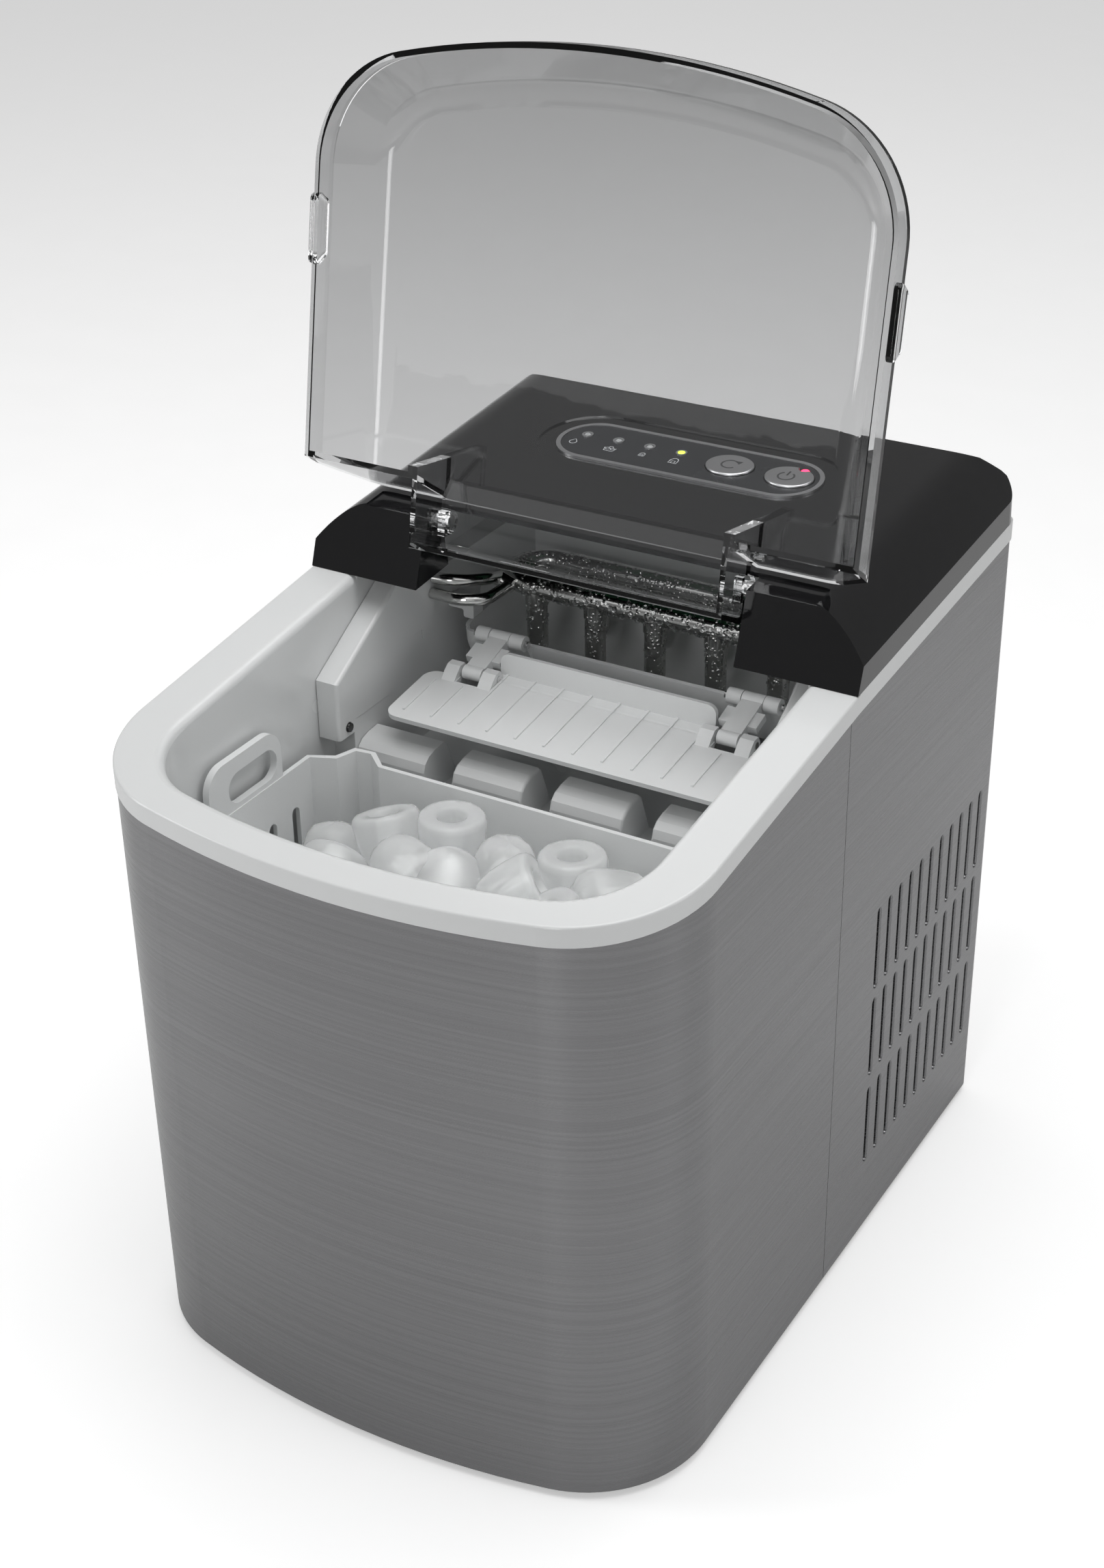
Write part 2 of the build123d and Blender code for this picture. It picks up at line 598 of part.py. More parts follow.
def end_cut(inset):
    """Everything behind the lid's sloping rear end."""
    low = -inset * 1.12
    return side_plate([(low - 1.0, -2), (low + 13.9, 28.0), (200, 28.0), (200, -2)], -BIG, BIG)


def lid_in_own_frame():
    w = LID_WALL
    outer = lid_dome(0) - end_cut(0)
    outer -= box((-TONGUE_X, TONGUE_X), (-10, 100), (-5, 50))
    outer += side_plate(tongue_shape(0), -TONGUE_X, TONGUE_X)
    inner = lid_dome(w) - end_cut(w)
    inner -= box((-TONGUE_X - w, TONGUE_X + w), (-5, 100), (-5, 50))
    inner += side_plate(tongue_shape(w), -TONGUE_X + w, TONGUE_X - w)
    shell = outer - inner
    for s in (-1, 1):
        x = sorted((s * (TONGUE_X - 5.5), s * TONGUE_X))
        lug = Pos(0, HINGE_Y - LID_Y, HINGE_Z - LID_Z) * ALONG_X * Cylinder(5.0, BIG)
        lug += box((-BIG, BIG), (HINGE_Y - LID_Y - 5, HINGE_Y - LID_Y + 5), (17, HINGE_Z - LID_Z))
        shell += lug & box(x, (-50, 50), (10, 50))
        grip = side_plate([(-104, 0.6), (-99, 8.6), (-78, 8.6), (-73, 0.6)], 0, 3.4)
        grip = fillet(grip.edges().filter_by(Axis.X), 2.4)
        grip = fillet(grip.faces().sort_by(Axis.X)[-1].edges(), 1.6)
        shell += Pos(LID_W - 0.4, 0, 0) * grip if s > 0 else mirror_x(Pos(LID_W - 0.4, 0, 0) * grip)
        bore_y = HINGE_Y - LID_Y
        bore_z = HINGE_Z - LID_Z
        shell -= rod((s * (TONGUE_X - 5.6), bore_y, bore_z), (s * (TONGUE_X + 1), bore_y, bore_z), PIN_R)
    return shell


def open_lid(shape):
    """Carry a shape from the lid's own frame to the raised position."""
    closed = RIM * Pos(0, LID_Y, LID_Z) * shape
    return Pos(*HINGE) * Rot(-LID_OPEN, 0, 0) * Pos(*[-c for c in HINGE]) * closed


def hinge_pins():
    """Two steel pins fixed in the lid that turn in the housings."""
    pins = []
    for s in (-1, 1):
        a, b = sorted((s * (TONGUE_X - 5.5), s * (NOTCH_X + 4.5)))
        pins.append(rod((a, HINGE_Y - LID_Y, HINGE_Z - LID_Z), (b, HINGE_Y - LID_Y, HINGE_Z - LID_Z), PIN_R))
    return Compound(children=pins)


# ---- evaporator ---------------------------------------------------------
U_X = -60.0
RISER_X = 73.0
RISER_Y = 100.0      # stands forward of the rear row, clear of the rim of the tilted tray
OVER_Z = 299.0
OUTLET_Y = 147.0


def evaporator():
    """Nickel-plated tube over the tray: two runs, a bend, and risers to the back."""
    mid_y = (ROW_FRONT_Y + ROW_REAR_Y) / 2
    half = (ROW_REAR_Y - ROW_FRONT_Y) / 2
    path = (Line((U_X, ROW_FRONT_Y, TUBE_Z), (62, ROW_FRONT_Y, TUBE_Z))
            + CenterArc((U_X, mid_y, TUBE_Z), half, 90, 180)
            + Line((U_X, ROW_REAR_Y, TUBE_Z), (62, ROW_REAR_Y, TUBE_Z)))
    start = Plane(origin=(62, ROW_FRONT_Y, TUBE_Z), z_dir=(-1, 0, 0))
    body = sweep(start * Circle(TUBE_R), path=Wire(path.edges()))
    body += tube([(61, ROW_REAR_Y, TUBE_Z), (64, ROW_REAR_Y, TUBE_Z), (RISER_X, RISER_Y, TUBE_Z),
                  (RISER_X, RISER_Y, OVER_Z), (RISER_X, OUTLET_Y, OVER_Z), (RISER_X, OUTLET_Y, 262)],
                 [8, 8, 9, 9], TUBE_R)
    body += tube([(61, ROW_FRONT_Y, TUBE_Z), (69, ROW_FRONT_Y, TUBE_Z), (69, ROW_FRONT_Y, 268)],
                 [6], TUBE_R)
    body += Pos(69, ROW_FRONT_Y, 268) * Sphere(TUBE_R)
    return body


def finger_places():
    front = [((i - 2) * FINGER_PITCH, ROW_FRONT_Y) for i in range(5)]
    rear = [((i - 1.5) * FINGER_PITCH, ROW_REAR_Y) for i in range(4)]
    return front + rear


def freezing_fingers():
    """Nine hollow fingers that the ice forms on, as one group."""
    fingers = []
    for x, y in finger_places():
        finger = Cylinder(FINGER_R, TUBE_Z - TUBE_R - 221, align=UP)
        finger = fillet(finger.edges().group_by(Axis.Z)[0], 3.2)
        finger += Pos(0, 0, TUBE_Z - TUBE_R - 221 - 3) * Cylinder(FINGER_R + 0.5, 6, align=UP)
        finger = Pos(x, y, 221) * finger
        saddle = Pos(x, y, TUBE_Z) * ALONG_X * Cylinder(TUBE_R + 0.02, 30)
        fingers.append(finger - saddle)
    return Compound(children=fingers)


def hot_gas_lines():
    """Two bright pipes from the left ledge to the bend of the evaporator."""
    lower = tube([(-89.3, 46, 253.6), (-76, 45.5, 253.6), (-66, 50.5, 253.6), (-66.5, 69.6, 252.4)],
                 [12, 7], 2.6)
    upper = tube([(-89.3, 47, 260.2), (-78, 49, 260.2), (-72, 60, 258.0), (-71.5, 70.6, 255.2)],
                 [14, 12], 2.6)
    union = rod((-72.8, 70.6, 254.6), (-64.6, 70.1, 252.2), 3.4)
    return lower + upper + union - evaporator()


def fill_nozzle():
    """White spout that refills the tray from the left ledge."""
    spout = box((-90, -77.5), (58.5, 66.0), (242.4, 247.4))
    spout += box((-82.5, -77.5), (58.5, 66.0), (238.8, 247.4))
    spout = fillet(spout.edges().filter_by(Axis.Y), 1.0)
    spout += rod((-105.8, 62, FILL_Z), (-89, 62, FILL_Z), 3.0)
    return spout - rod((-113, 62, FILL_Z), (-80, 62, FILL_Z), 1.6)


# ---- tilting tray -------------------------------------------------------
TRAY_PIN = (-37.28, 4.05)          # link pin on the tray, in the mechanism frame
PLATE_PIN = (-59.90, 0.26)         # link pin on the shovel
LINK_X = 58.6
SMALL_PIN_R = 1.5


def tray_form(inset):
    """Half-round trough with soft ends."""
    r = TRAY_R - inset
    drum = ALONG_X * Cylinder(r, 2 * (TRAY_X - inset))
    drum = fillet(drum.edges(), 7 - inset)
    return drum & Box(BIG, BIG, BIG, align=DOWN)


def water_tray():
    """Tilting tray in which the ice freezes round the fingers."""
    top = 0.6
    body = tray_form(0) + Box(2 * TRAY_X, 2 * TRAY_R, top, align=UP)
    body -= tray_form(TRAY_WALL)
    body -= Box(2 * (TRAY_X - TRAY_WALL), 2 * (TRAY_R - TRAY_WALL), 50, align=UP)
    corner = extrude(RectangleRounded(2 * TRAY_X, 2 * TRAY_R, 8), 40, both=True)
    body = body & corner
    for s in (-1, 1):
        hub = ALONG_X * Cylinder(7.5, 2.4)
        body += Pos(s * (TRAY_X - 1.2), 0, 0) * hub & Box(BIG, BIG, BIG, align=DOWN)
        body += Pos(s * (TRAY_X + 1.5), 0, 0) * ALONG_X * Cylinder(7.0, 3.4)
        for k in (-1, 1):
            x = s * LINK_X + k * 8.2
            boss = Pos(x, *TRAY_PIN) * ALONG_X * Cylinder(3.4, 6.4)
            outline = [(-39.5, 3.0), (-31.6, 0.4), (-31.6, -9.0), (-33.0, -7.0), (-36.5, 1.0)]
            web = side_plate(outline, x - 3.2, x + 3.2)
            body += boss + web
    body -= tray_form(TRAY_WALL)
    body -= Box(2 * (TRAY_X - TRAY_WALL), 2 * (TRAY_R - TRAY_WALL), 50, align=UP)
    body -= Pos(0, *TRAY_PIN) * ALONG_X * Cylinder(SMALL_PIN_R + RUN, 2 * TRAY_X + 20)
    left = Pos(-(TRAY_X + 3), 0, 0) * ALONG_X * Cylinder(STUB_R, 10, align=DOWN)
    body += left
    body -= Pos(TRAY_X - 4, 0, 0) * ALONG_X * Cylinder(2.5, 20, align=UP)
    return MECH * body


def tray_shaft():
    """Output shaft of the tray motor, pressed into the tray's right hub."""
    shaft = ALONG_X * Cylinder(2.5, 17.5, align=UP)
    return MECH * Pos(TRAY_X - 4, 0, 0) * shaft


def tray_motor():
    """Flat synchronous gear motor set in the right wall of the liner."""
    body = Cylinder(19, 12, align=UP) + Pos(0, 0, -4) * Cylinder(6, 4.2, align=UP)
    ears = Box(48, 9, 1.2, align=UP)
    body = body + (ears & Cylinder(21.8, 10))
    body -= Cylinder(2.5 + RUN, 17, align=(Align.CENTER, Align.CENTER, Align.CENTER))
    return Pos(97.5, TRAY_Y, TRAY_Z) * ALONG_X * body


def place_link(shape, s):
    return MECH * Pos(s * LINK_X, 0, 0) * shape


def link(s):
    """Cross-shaped link between tray and shovel."""
    (ty, tz), (py, pz) = TRAY_PIN, PLATE_PIN
    length = sqrt((ty - py) ** 2 + (tz - pz) ** 2)
    slope = atan2(tz - pz, ty - py) * 180 / pi
    bar = Box(8.8, length, 4.4) + Box(16.5, 8.5, 3.2)
    ends = Pos(0, length / 2, 0) * ALONG_X * Cylinder(3.3, 9.4)
    ends += Pos(0, -length / 2, 0) * ALONG_X * Cylinder(3.0, 8.8)
    shape = bar + ends
    for e in (-1, 1):
        shape -= Pos(0, e * length / 2, 0) * ALONG_X * Cylinder(SMALL_PIN_R, 30)
    return place_link(Pos(0, (ty + py) / 2, (tz + pz) / 2) * Rot(slope, 0, 0) * shape, s)


def link_pins():
    """Four steel pins fixed in the two links, as one group."""
    pins = []
    for s in (-1, 1):
        pins.append(place_link(Pos(0, *TRAY_PIN) * ALONG_X * Cylinder(SMALL_PIN_R, 26), s))
        pins.append(place_link(Pos(0, *PLATE_PIN) * ALONG_X * Cylinder(SMALL_PIN_R, 24), s))
    return Compound(children=pins)


# ---- shovel -------------------------------------------------------------
PLATE_X = 79.0
PLATE_FRONT = -98.4
PLATE_Z = -1.0
PLATE_T = 2.0
RIB_PITCH = 13.15


def ice_shovel():
    """Ribbed pusher plate with a raised rear lip and ears for the links."""
    wings = Pos(0, (PLATE_FRONT - 62.5) / 2, 0) * RectangleRounded(2 * PLATE_X, -62.5 - PLATE_FRONT, 6)
    plate = prism(wings, PLATE_Z - PLATE_T, PLATE_Z)
    plate += box((-49.5, 49.5), (-66, -52.5), (PLATE_Z - PLATE_T, PLATE_Z))
    lip_face = Pos(0, 2.4, 0) * RectangleRounded(99, 11.6, 4)
    lip = Pos(0, -52.0, 0) * Rot(80, 0, 0) * extrude(lip_face, 2.0)
    plate += lip
    for s in (-1, 1):
        plate -= box(sorted((s * (LINK_X - 5.2), s * (LINK_X + 5.2))), (-66.5, -50), (-5, 5))
        for k in (-1, 1):
            x = s * LINK_X + k * 8.6
            ear = side_plate([(-68.5, PLATE_Z - 1), (-57.0, PLATE_Z - 2.4), (-56.6, 0.3), (-58, 3.2),
                              (-61.5, 3.4), (-64.5, 1.6)], x - 3.1, x + 3.1)
            plate += ear
    plate -= Pos(0, *PLATE_PIN) * ALONG_X * Cylinder(SMALL_PIN_R + RUN, 2 * PLATE_X)
    for i in range(12):
        x = (i - 5.5) * RIB_PITCH
        inner = abs(x) < 49
        y_end = -53.6 if inner else -69.0
        rib = box((x - 0.5, x + 0.5), (PLATE_FRONT + 5.5, y_end), (PLATE_Z - 0.5, PLATE_Z + 0.7))
        if inner:
            rib += Pos(0, -52.6, 0) * Rot(-10, 0, 0) * box((x - 0.5, x + 0.5), (-1.4, 1.0), (PLATE_Z, PLATE_Z + 6.0))
        plate += rib
    return MECH * plate


# ---- ice basket ---------------------------------------------------------
SLOT_Y = [-51.2 - 15.3 * i for i in range(4)]
SLOT_TOP = 197.5
SLOT_LOW = 128.0


def basket_plan(inset):
    """Plan outline of the basket with its two rear corner spouts."""
    w = BASKET_W - inset
    front = bowed_outline(w, BASKET_FRONT + inset, 33 - inset, 330 - inset, BASKET_BACK - 12)
    k = inset
    pts = [(w, BASKET_BACK - 12.5), (w, -38.5 - 0.5 * k), (86.2 - 0.9 * k, -33.4 - 0.9 * k),
           (83.0 - 0.9 * k, -24.3 - k), (73.6 + 0.5 * k, -23.4 - k),
           (65.3 + 0.3 * k, BASKET_BACK - k)]
    loop = pts + [(-x, y) for x, y in reversed(pts)]
    rear = upright(Face(Wire(Polyline(*loop, close=True).edges())))
    return front + rear


def ice_basket():
    """Lift-out basket with slotted sides and two loop handles."""
    basket = prism(basket_plan(0), BASKET_Z, BASKET_TOP)
    basket -= prism(basket_plan(BASKET_WALL), BASKET_Z + 2.2, BIG)
    slot_h = SLOT_TOP - SLOT_LOW
    slot = ALONG_X * extrude(SlotOverall(slot_h, 5.0), BIG, both=True)
    for y in SLOT_Y:
        basket -= Pos(0, y, (SLOT_TOP + SLOT_LOW) / 2) * slot
    front_slot = ALONG_Y * Rot(0, 0, 90) * extrude(SlotOverall(slot_h, 5.0), 70)
    for i in range(7):
        basket -= Pos((i - 3) * 18, -165, (SLOT_TOP + SLOT_LOW) / 2) * front_slot
    for ix in range(5):
        for iy in range(4):
            basket -= Pos((ix - 2) * 30, -122 + iy * 24, BASKET_Z) * extrude(SlotOverall(20, 5), 10, both=True)
    for s in (-1, 1):
        frame = side_plate([(-103, 205), (-103, 237.2), (-57.0, 237.2), (-57.0, 205)], 0, 3.0)
        frame = fillet([e for e in frame.edges().filter_by(Axis.X) if (e @ 0.5).Z > 230], 10)
        hole = Pos(-5, -75.6, 223.8) * ALONG_X * Rot(0, 0, 90) * extrude(SlotOverall(31, 13.4), 20)
        frame -= hole
        frame = Pos(BASKET_W - 1.6, 0, 0) * frame
        basket += frame if s > 0 else mirror_x(frame)
    return basket


# ---- water circuit ------------------------------------------------------
PUMP_X = -40.0
PUMP_Y = 8.0


def water_pump():
    """Small pump on the base behind the tank."""
    body = Pos(PUMP_X, PUMP_Y, 22) * Cylinder(15, 30, align=UP)
    body += box((PUMP_X - 17, PUMP_X + 17), (PUMP_Y - 17, PUMP_Y + 17), (PAN_Z + PAN_WALL, 23))
    body += rod((PUMP_X - 12, PUMP_Y, 34), (PUMP_X - 30, PUMP_Y, 34), 3.0)
    body += Pos(PUMP_X, PUMP_Y, 51) * Cylinder(SPIGOT_R, 10, align=UP)
    return body


def suction_hose():
    """Short hose from the tank down to the pump."""
    path = [(PUMP_X, -12, SUCTION_Z), (PUMP_X, PUMP_Y, SUCTION_Z), (PUMP_X, PUMP_Y, 54)]
    return tube(path, [9], 6.0, SPIGOT_R)


def fill_hose():
    """Hose that climbs the left wall from the pump to the fill nozzle."""
    path = [(PUMP_X - 20, PUMP_Y, 34), (-111, PUMP_Y, 34), (-111, PUMP_Y, 120), (-111, 62, 150),
            (-111, 62, FILL_Z), (-103, 62, FILL_Z)]
    return tube(path, [10, 12, 12, 5], 4.5, 3.0)


def foam_jacket():
    """Insulating foam that lines the space round the well."""
    outer = bowed_outline(118.4, -162.4, 50, 346, -13.5)
    inner = bowed_outline(LINER_W + WALL + GAP, LINER_FRONT - WALL - GAP, LINER_CORNER_R + WALL,
                          LINER_FRONT_R + WALL, 0)
    ring = prism(outer, 40, 255) - prism(inner, 30, 260)
    ring -= above_rim(-RIM_H - 1)
    return ring


# ---- refrigeration ------------------------------------------------------
COMP_X = -45.0
COMP_Y = 92.0
COMP_R = 50.0
COMP_Z = 16.0
GROMMETS = [(COMP_X + sx * 48, COMP_Y + sy * 48) for sx in (-1, 1) for sy in (-1, 1)]


def compressor():
    """Hermetic compressor shell with mounting feet and pipe stubs."""
    shell = Pos(COMP_X, COMP_Y, COMP_Z) * Cylinder(COMP_R, 128, align=UP)
    ends = [e for e in shell.edges() if e.geom_type == GeomType.CIRCLE]
    shell = fillet(ends, 20)
    shell += Pos(COMP_X, COMP_Y, COMP_Z + 66) * Cylinder(COMP_R + 2, 5)
    plate = Pos(COMP_X, COMP_Y, COMP_Z - 3) * extrude(RectangleRounded(112, 112, 12), 3)
    for x, y in GROMMETS:
        plate -= Pos(x, y, COMP_Z) * Cylinder(3.5, 20)
    shell += plate
    shell += Pos(COMP_X, COMP_Y, COMP_Z) * Cylinder(30, 22, align=UP)
    shell += box((COMP_X - 20, COMP_X + 20), (COMP_Y - COMP_R - 9, COMP_Y - 35), (70, 112))
    for x in (-28, 28):
        shell += Pos(COMP_X + x, COMP_Y + 12, 120) * Cylinder(3.2, 40, align=UP)
    return shell


def compressor_mounts():
    """Four rubber mounts under the compressor, as one group."""
    parts = []
    for x, y in GROMMETS:
        mount = Pos(x, y, PAN_Z + PAN_WALL) * Cylinder(7, COMP_Z - 3 - PAN_Z - PAN_WALL, align=UP)
        mount += Pos(x, y, PAN_Z + PAN_WALL) * Cylinder(3.5, COMP_Z - PAN_Z - PAN_WALL + 1, align=UP)
        parts.append(mount)
    return Compound(children=parts)


COND_X = (93.0, 113.0)
COND_Y = (44.0, 144.0)
COND_Z = (44.0, 166.0)


def condenser_fins():
    """Stack of thin aluminium fins between two end plates."""
    body = box(COND_X, (COND_Y[0], COND_Y[0] + 1.2), COND_Z)
    count = 24
    step = (COND_Y[1] - COND_Y[0] - 1.2) / count
    for i in range(1, count + 1):
        y = COND_Y[0] + i * step
        body += box(COND_X, (y, y + 1.2), COND_Z)
    for z in range(6):
        hole = Pos((COND_X[0] + COND_X[1]) / 2, 0, COND_Z[0] + 11 + z * 20)
        body -= hole * ALONG_Y * Cylinder(3.05, BIG)
    return body


def condenser_coil():
    """Serpentine copper pipe through the fins."""
    x = (COND_X[0] + COND_X[1]) / 2
    points = []
    for i in range(6):
        z = COND_Z[0] + 11 + i * 20
        ends = (COND_Y[0] - 9, COND_Y[1] + 9)
        if i % 2:
            ends = (ends[1], ends[0])
        points += [(x, ends[0], z), (x, ends[1], z)]
    return tube(points, [9.6] * (len(points) - 2), 3.0)


FAN_Y = 94.0
FAN_Z = 105.0


def fan_shroud():
    """Square frame with a round mouth between fan and condenser."""
    frame = box((84, 92.4), (COND_Y[0], COND_Y[1]), (COND_Z[0], COND_Z[1]))
    mouth = Pos(88, FAN_Y, FAN_Z) * ALONG_X
    frame -= mouth * Cylinder(47, 30)
    ring = Pos(62, FAN_Y, FAN_Z) * ALONG_X * (Cylinder(50, 22.2, align=UP) - Cylinder(47, 60))
    frame += ring
    for z in (-1, 1):
        frame += box((41, 65), (FAN_Y - 4, FAN_Y + 4), sorted((FAN_Z + z * 21.05, FAN_Z + z * 25.3)))
        frame += box((62.5, 65), (FAN_Y - 4, FAN_Y + 4), sorted((FAN_Z + z * 21.05, FAN_Z + z * 48.5)))
    for y in (COND_Y[0] + 8, COND_Y[1] - 8):
        frame += box((84, 92.4), (y - 6, y + 6), (PAN_Z + PAN_WALL, COND_Z[0]))
    return frame


def fan_motor():
    """Small motor held by the shroud's struts."""
    body = Pos(40, FAN_Y, FAN_Z) * ALONG_X * Cylinder(21, 20, align=UP)
    body = chamfer([e for e in body.edges() if e.geom_type == GeomType.CIRCLE], 1.5)
    body += Pos(59.5, FAN_Y, FAN_Z) * ALONG_X * Cylinder(5, 3, align=UP)
    body -= Pos(52, FAN_Y, FAN_Z) * ALONG_X * Cylinder(2.0 + RUN, 12, align=UP)
    return body


def fan_rotor():
    """Five-blade fan with its shaft."""
    hub = Pos(66, FAN_Y, FAN_Z) * ALONG_X * Cylinder(13, 14, align=UP)
    hub += Pos(53, FAN_Y, FAN_Z) * ALONG_X * Cylinder(2.0, 14, align=UP)
    for i in range(5):
        blade = Pos(73, 0, 12) * Rot(0, 0, 32) * Box(1.8, 20, 32.5, align=UP)
        hub += Pos(0, FAN_Y, FAN_Z) * Rot(i * 72, 0, 0) * blade
    return hub


def filter_drier():
    """Copper filter-drier on its way to the evaporator."""
    body = Cylinder(8, 60) + Pos(0, 0, 30) * Cone(8, 3, 12, align=UP) + Pos(0, 0, -30) * Cone(3, 8, 12, align=DOWN)
    body += Cylinder(2.2, 100)
    return Pos(30, 40, 140) * Rot(0, 25, 0) * body


def gas_valve():
    """Solenoid valve that sends hot gas to the evaporator at harvest."""
    body = Pos(0, 0, 0) * Cylinder(7, 34) + Box(26, 22, 24)
    body += Pos(0, 0, -17) * ALONG_X * Cylinder(3.2, 40)
    return Pos(-82, 28, 150) * body


def power_board():
    """Driver board with a transformer and relays, upright behind the freezing shelf."""
    board = box((-88, -8), (148.4, 150), (196, 262))
    board += box((-82, -50), (137, 148.5), (202, 232))
    board += box((-42, -28), (139, 148.5), (206, 224))
    board += box((-24, -12), (139, 148.5), (206, 224))
    board += box((-42, -14), (143, 148.5), (240, 252))
    for x in (-84, -12):
        for z in (199.5, 258.5):
            board += Pos(x, 150, z) * ALONG_Y * Cylinder(2.5, Y_REAR - SKIN_INSET - SKIN - 150, align=UP)
    return board


# ---- back fittings ------------------------------------------------------
def power_inlet():
    """Recessed mains inlet with its flange and three contacts."""
    depth = 18
    y = Y_REAR - SKIN_INSET
    w = INLET_W / 2 - GAP
    h = INLET_H / 2 - GAP
    body = box((-w, w), (y - depth, y), (-h, h))
    body -= box((-w + 2.4, w - 2.4), (y - depth + 3, y + 1), (-h + 2.4, h - 2.4))
    flange = box((-w - 4, w + 4), (y - SKIN - 2.0, y - SKIN), (-h - 4, h + 4))
    body += flange - box((-w + 1, w - 1), (0, BIG), (-h + 1, h - 1))
    for x, z in ((-6, -1), (0, 2), (6, -1)):
        body += box((x - 1, x + 1), (y - depth + 2.5, y - 6), (z - 1.8, z + 1.8))
    return Pos(INLET_X, 0, INLET_Z) * body


def drain_spout():
    """Short tube that brings the drain hose to the back."""
    y = Y_REAR - SKIN_INSET - SKIN
    body = Pos(DRAIN_X, 138, DRAIN_Z) * ALONG_Y * Cylinder(DRAIN_R, y - 138, align=UP)
    body += Pos(DRAIN_X, y - 3, DRAIN_Z) * ALONG_Y * Cylinder(CAP_R + 4, 3, align=UP)
    return body - Pos(DRAIN_X, 130, DRAIN_Z) * ALONG_Y * Cylinder(DRAIN_R - 1.8, 60, align=UP)


def drain_cap():
    """Push-in drain cap with a finger bar."""
    y = Y_REAR - SKIN_INSET - SKIN + 0.1
    cap = Cylinder(CAP_R, 2.4, align=UP)
    cap = fillet(cap.edges().group_by(Axis.Z)[-1], 0.8)
    cap -= Pos(0, 0, 2.4) * Cylinder(6.6, 3.2)
    cap += Pos(0, 0, 0.7) * Box(13.4, 2.4, 1.6, align=UP)
    cap += Cylinder(DRAIN_R - 1.8 - RUN, 12, align=DOWN)
    return Pos(DRAIN_X, y, DRAIN_Z) * ALONG_Y * cap


def drain_hose():
    """Hose from the well's drain to the back of the cabinet."""
    path = [(DRAIN_X - 20, -60, WELL_Z - WALL - 2), (DRAIN_X - 20, -60, DRAIN_Z),
            (DRAIN_X, -20, DRAIN_Z), (DRAIN_X, 140, DRAIN_Z)]
    return tube(path, [12, 20], DRAIN_R + 2.0, DRAIN_R)


BLACK = (0.03, 0.03, 0.03)
WHITE = (0.9, 0.9, 0.88)
STEEL = (0.62, 0.62, 0.63)
SILVER = (0.8, 0.8, 0.82)
COPPER = (0.7, 0.36, 0.2)
GREY = (0.35, 0.36, 0.38)
GREEN = (0.1, 0.3, 0.18)
CLEAR = (0.75, 0.78, 0.8)
BLUE = (0.2, 0.3, 0.42)

save(base_pan(), "base_pan", BLACK)
for row, y_foot in enumerate(FOOT_Y):
    for col, x_foot in enumerate((-FOOT_X, FOOT_X)):
        place = ("front", "rear")[row] + ("_left", "_right")[col]
        save(foot(x_foot, y_foot), f"foot_{place}", BLACK)
save(front_wrap(), "front_wrap", STEEL)
save(side_panel(-1), "side_panel_left", STEEL)
save(side_panel(1), "side_panel_right", STEEL)
save(back_panel(), "back_panel", STEEL)
save(back_screws(), "back_screws", SILVER)
save(inner_liner(), "inner_liner", WHITE)
save(foam_jacket(), "foam_jacket", WHITE)
save(ice_guide(), "ice_guide", WHITE)
save(sensor_cover(-1), "sensor_cover_left", WHITE)
save(sensor_cover(1), "sensor_cover_right", WHITE)
save(sensor_eye(-1), "sensor_eye_left", BLACK)
save(sensor_eye(1), "sensor_eye_right", BLACK)
save(top_cover(), "top_cover", BLACK)
save(panel_ring(), "panel_ring", SILVER)
save(panel_plate(), "panel_plate", GREY)
save(light_rings(), "light_rings", SILVER)
save(Compound(children=[light_lens(x, LIGHT_Y, 1.5) for x in LIGHT_X[:-1]]), "status_lights", CLEAR)
save(light_lens(LIGHT_X[-1], LIGHT_Y, 1.5), "making_light", (0.5, 0.6, 0.1))
save(light_lens(*POWER_LIGHT, 1.9), "power_light", (0.6, 0.05, 0.02))
save(button(0), "select_button", SILVER)
save(button(1), "power_button", SILVER)
save(control_board(), "control_board", GREEN)
save(open_lid(lid_in_own_frame()), "lid", CLEAR)
save(open_lid(hinge_pins()), "lid_pins", SILVER)
save(evaporator(), "evaporator_tube", SILVER)
save(freezing_fingers(), "freezing_fingers", SILVER)
save(hot_gas_lines(), "hot_gas_lines", SILVER)
save(fill_nozzle(), "fill_nozzle", WHITE)
save(water_tray(), "water_tray", WHITE)
save(tray_shaft(), "tray_shaft", SILVER)
save(tray_motor(), "tray_motor", GREY)
save(link(-1), "link_left", WHITE)
save(link(1), "link_right", WHITE)
save(link_pins(), "link_pins", SILVER)
save(ice_shovel(), "ice_shovel", WHITE)
save(ice_basket(), "ice_basket", WHITE)
save(water_pump(), "water_pump", BLACK)
save(suction_hose(), "suction_hose", CLEAR)
save(fill_hose(), "fill_hose", CLEAR)
save(compressor(), "compressor", BLACK)
save(compressor_mounts(), "compressor_mounts", BLACK)
save(condenser_fins(), "condenser_fins", SILVER)
save(condenser_coil(), "condenser_coil", COPPER)
save(fan_shroud(), "fan_shroud", BLACK)
save(fan_motor(), "fan_motor", GREY)
save(fan_rotor(), "fan_rotor", BLACK)
save(filter_drier(), "filter_drier", COPPER)
save(gas_valve(), "gas_valve", BLUE)
save(power_board(), "power_board", GREEN)
save(power_inlet(), "power_inlet", BLACK)
save(drain_spout(), "drain_spout", WHITE)
save(drain_cap(), "drain_cap", BLACK)
save(drain_hose(), "drain_hose", CLEAR)
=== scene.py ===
# %% [markdown]
# # Countertop ice maker
# A small machine that freezes water round nine cold metal fingers and drops the
# finished ice into a lift-out basket. The outside is brushed steel, a white
# moulded liner and a black cover with a clear hinged lid. The shapes that carry
# load come from the imported model; this lesson gives them their finishes and adds
# what the model has no need of: ice, droplets, printed symbols and trim.

import math
import random

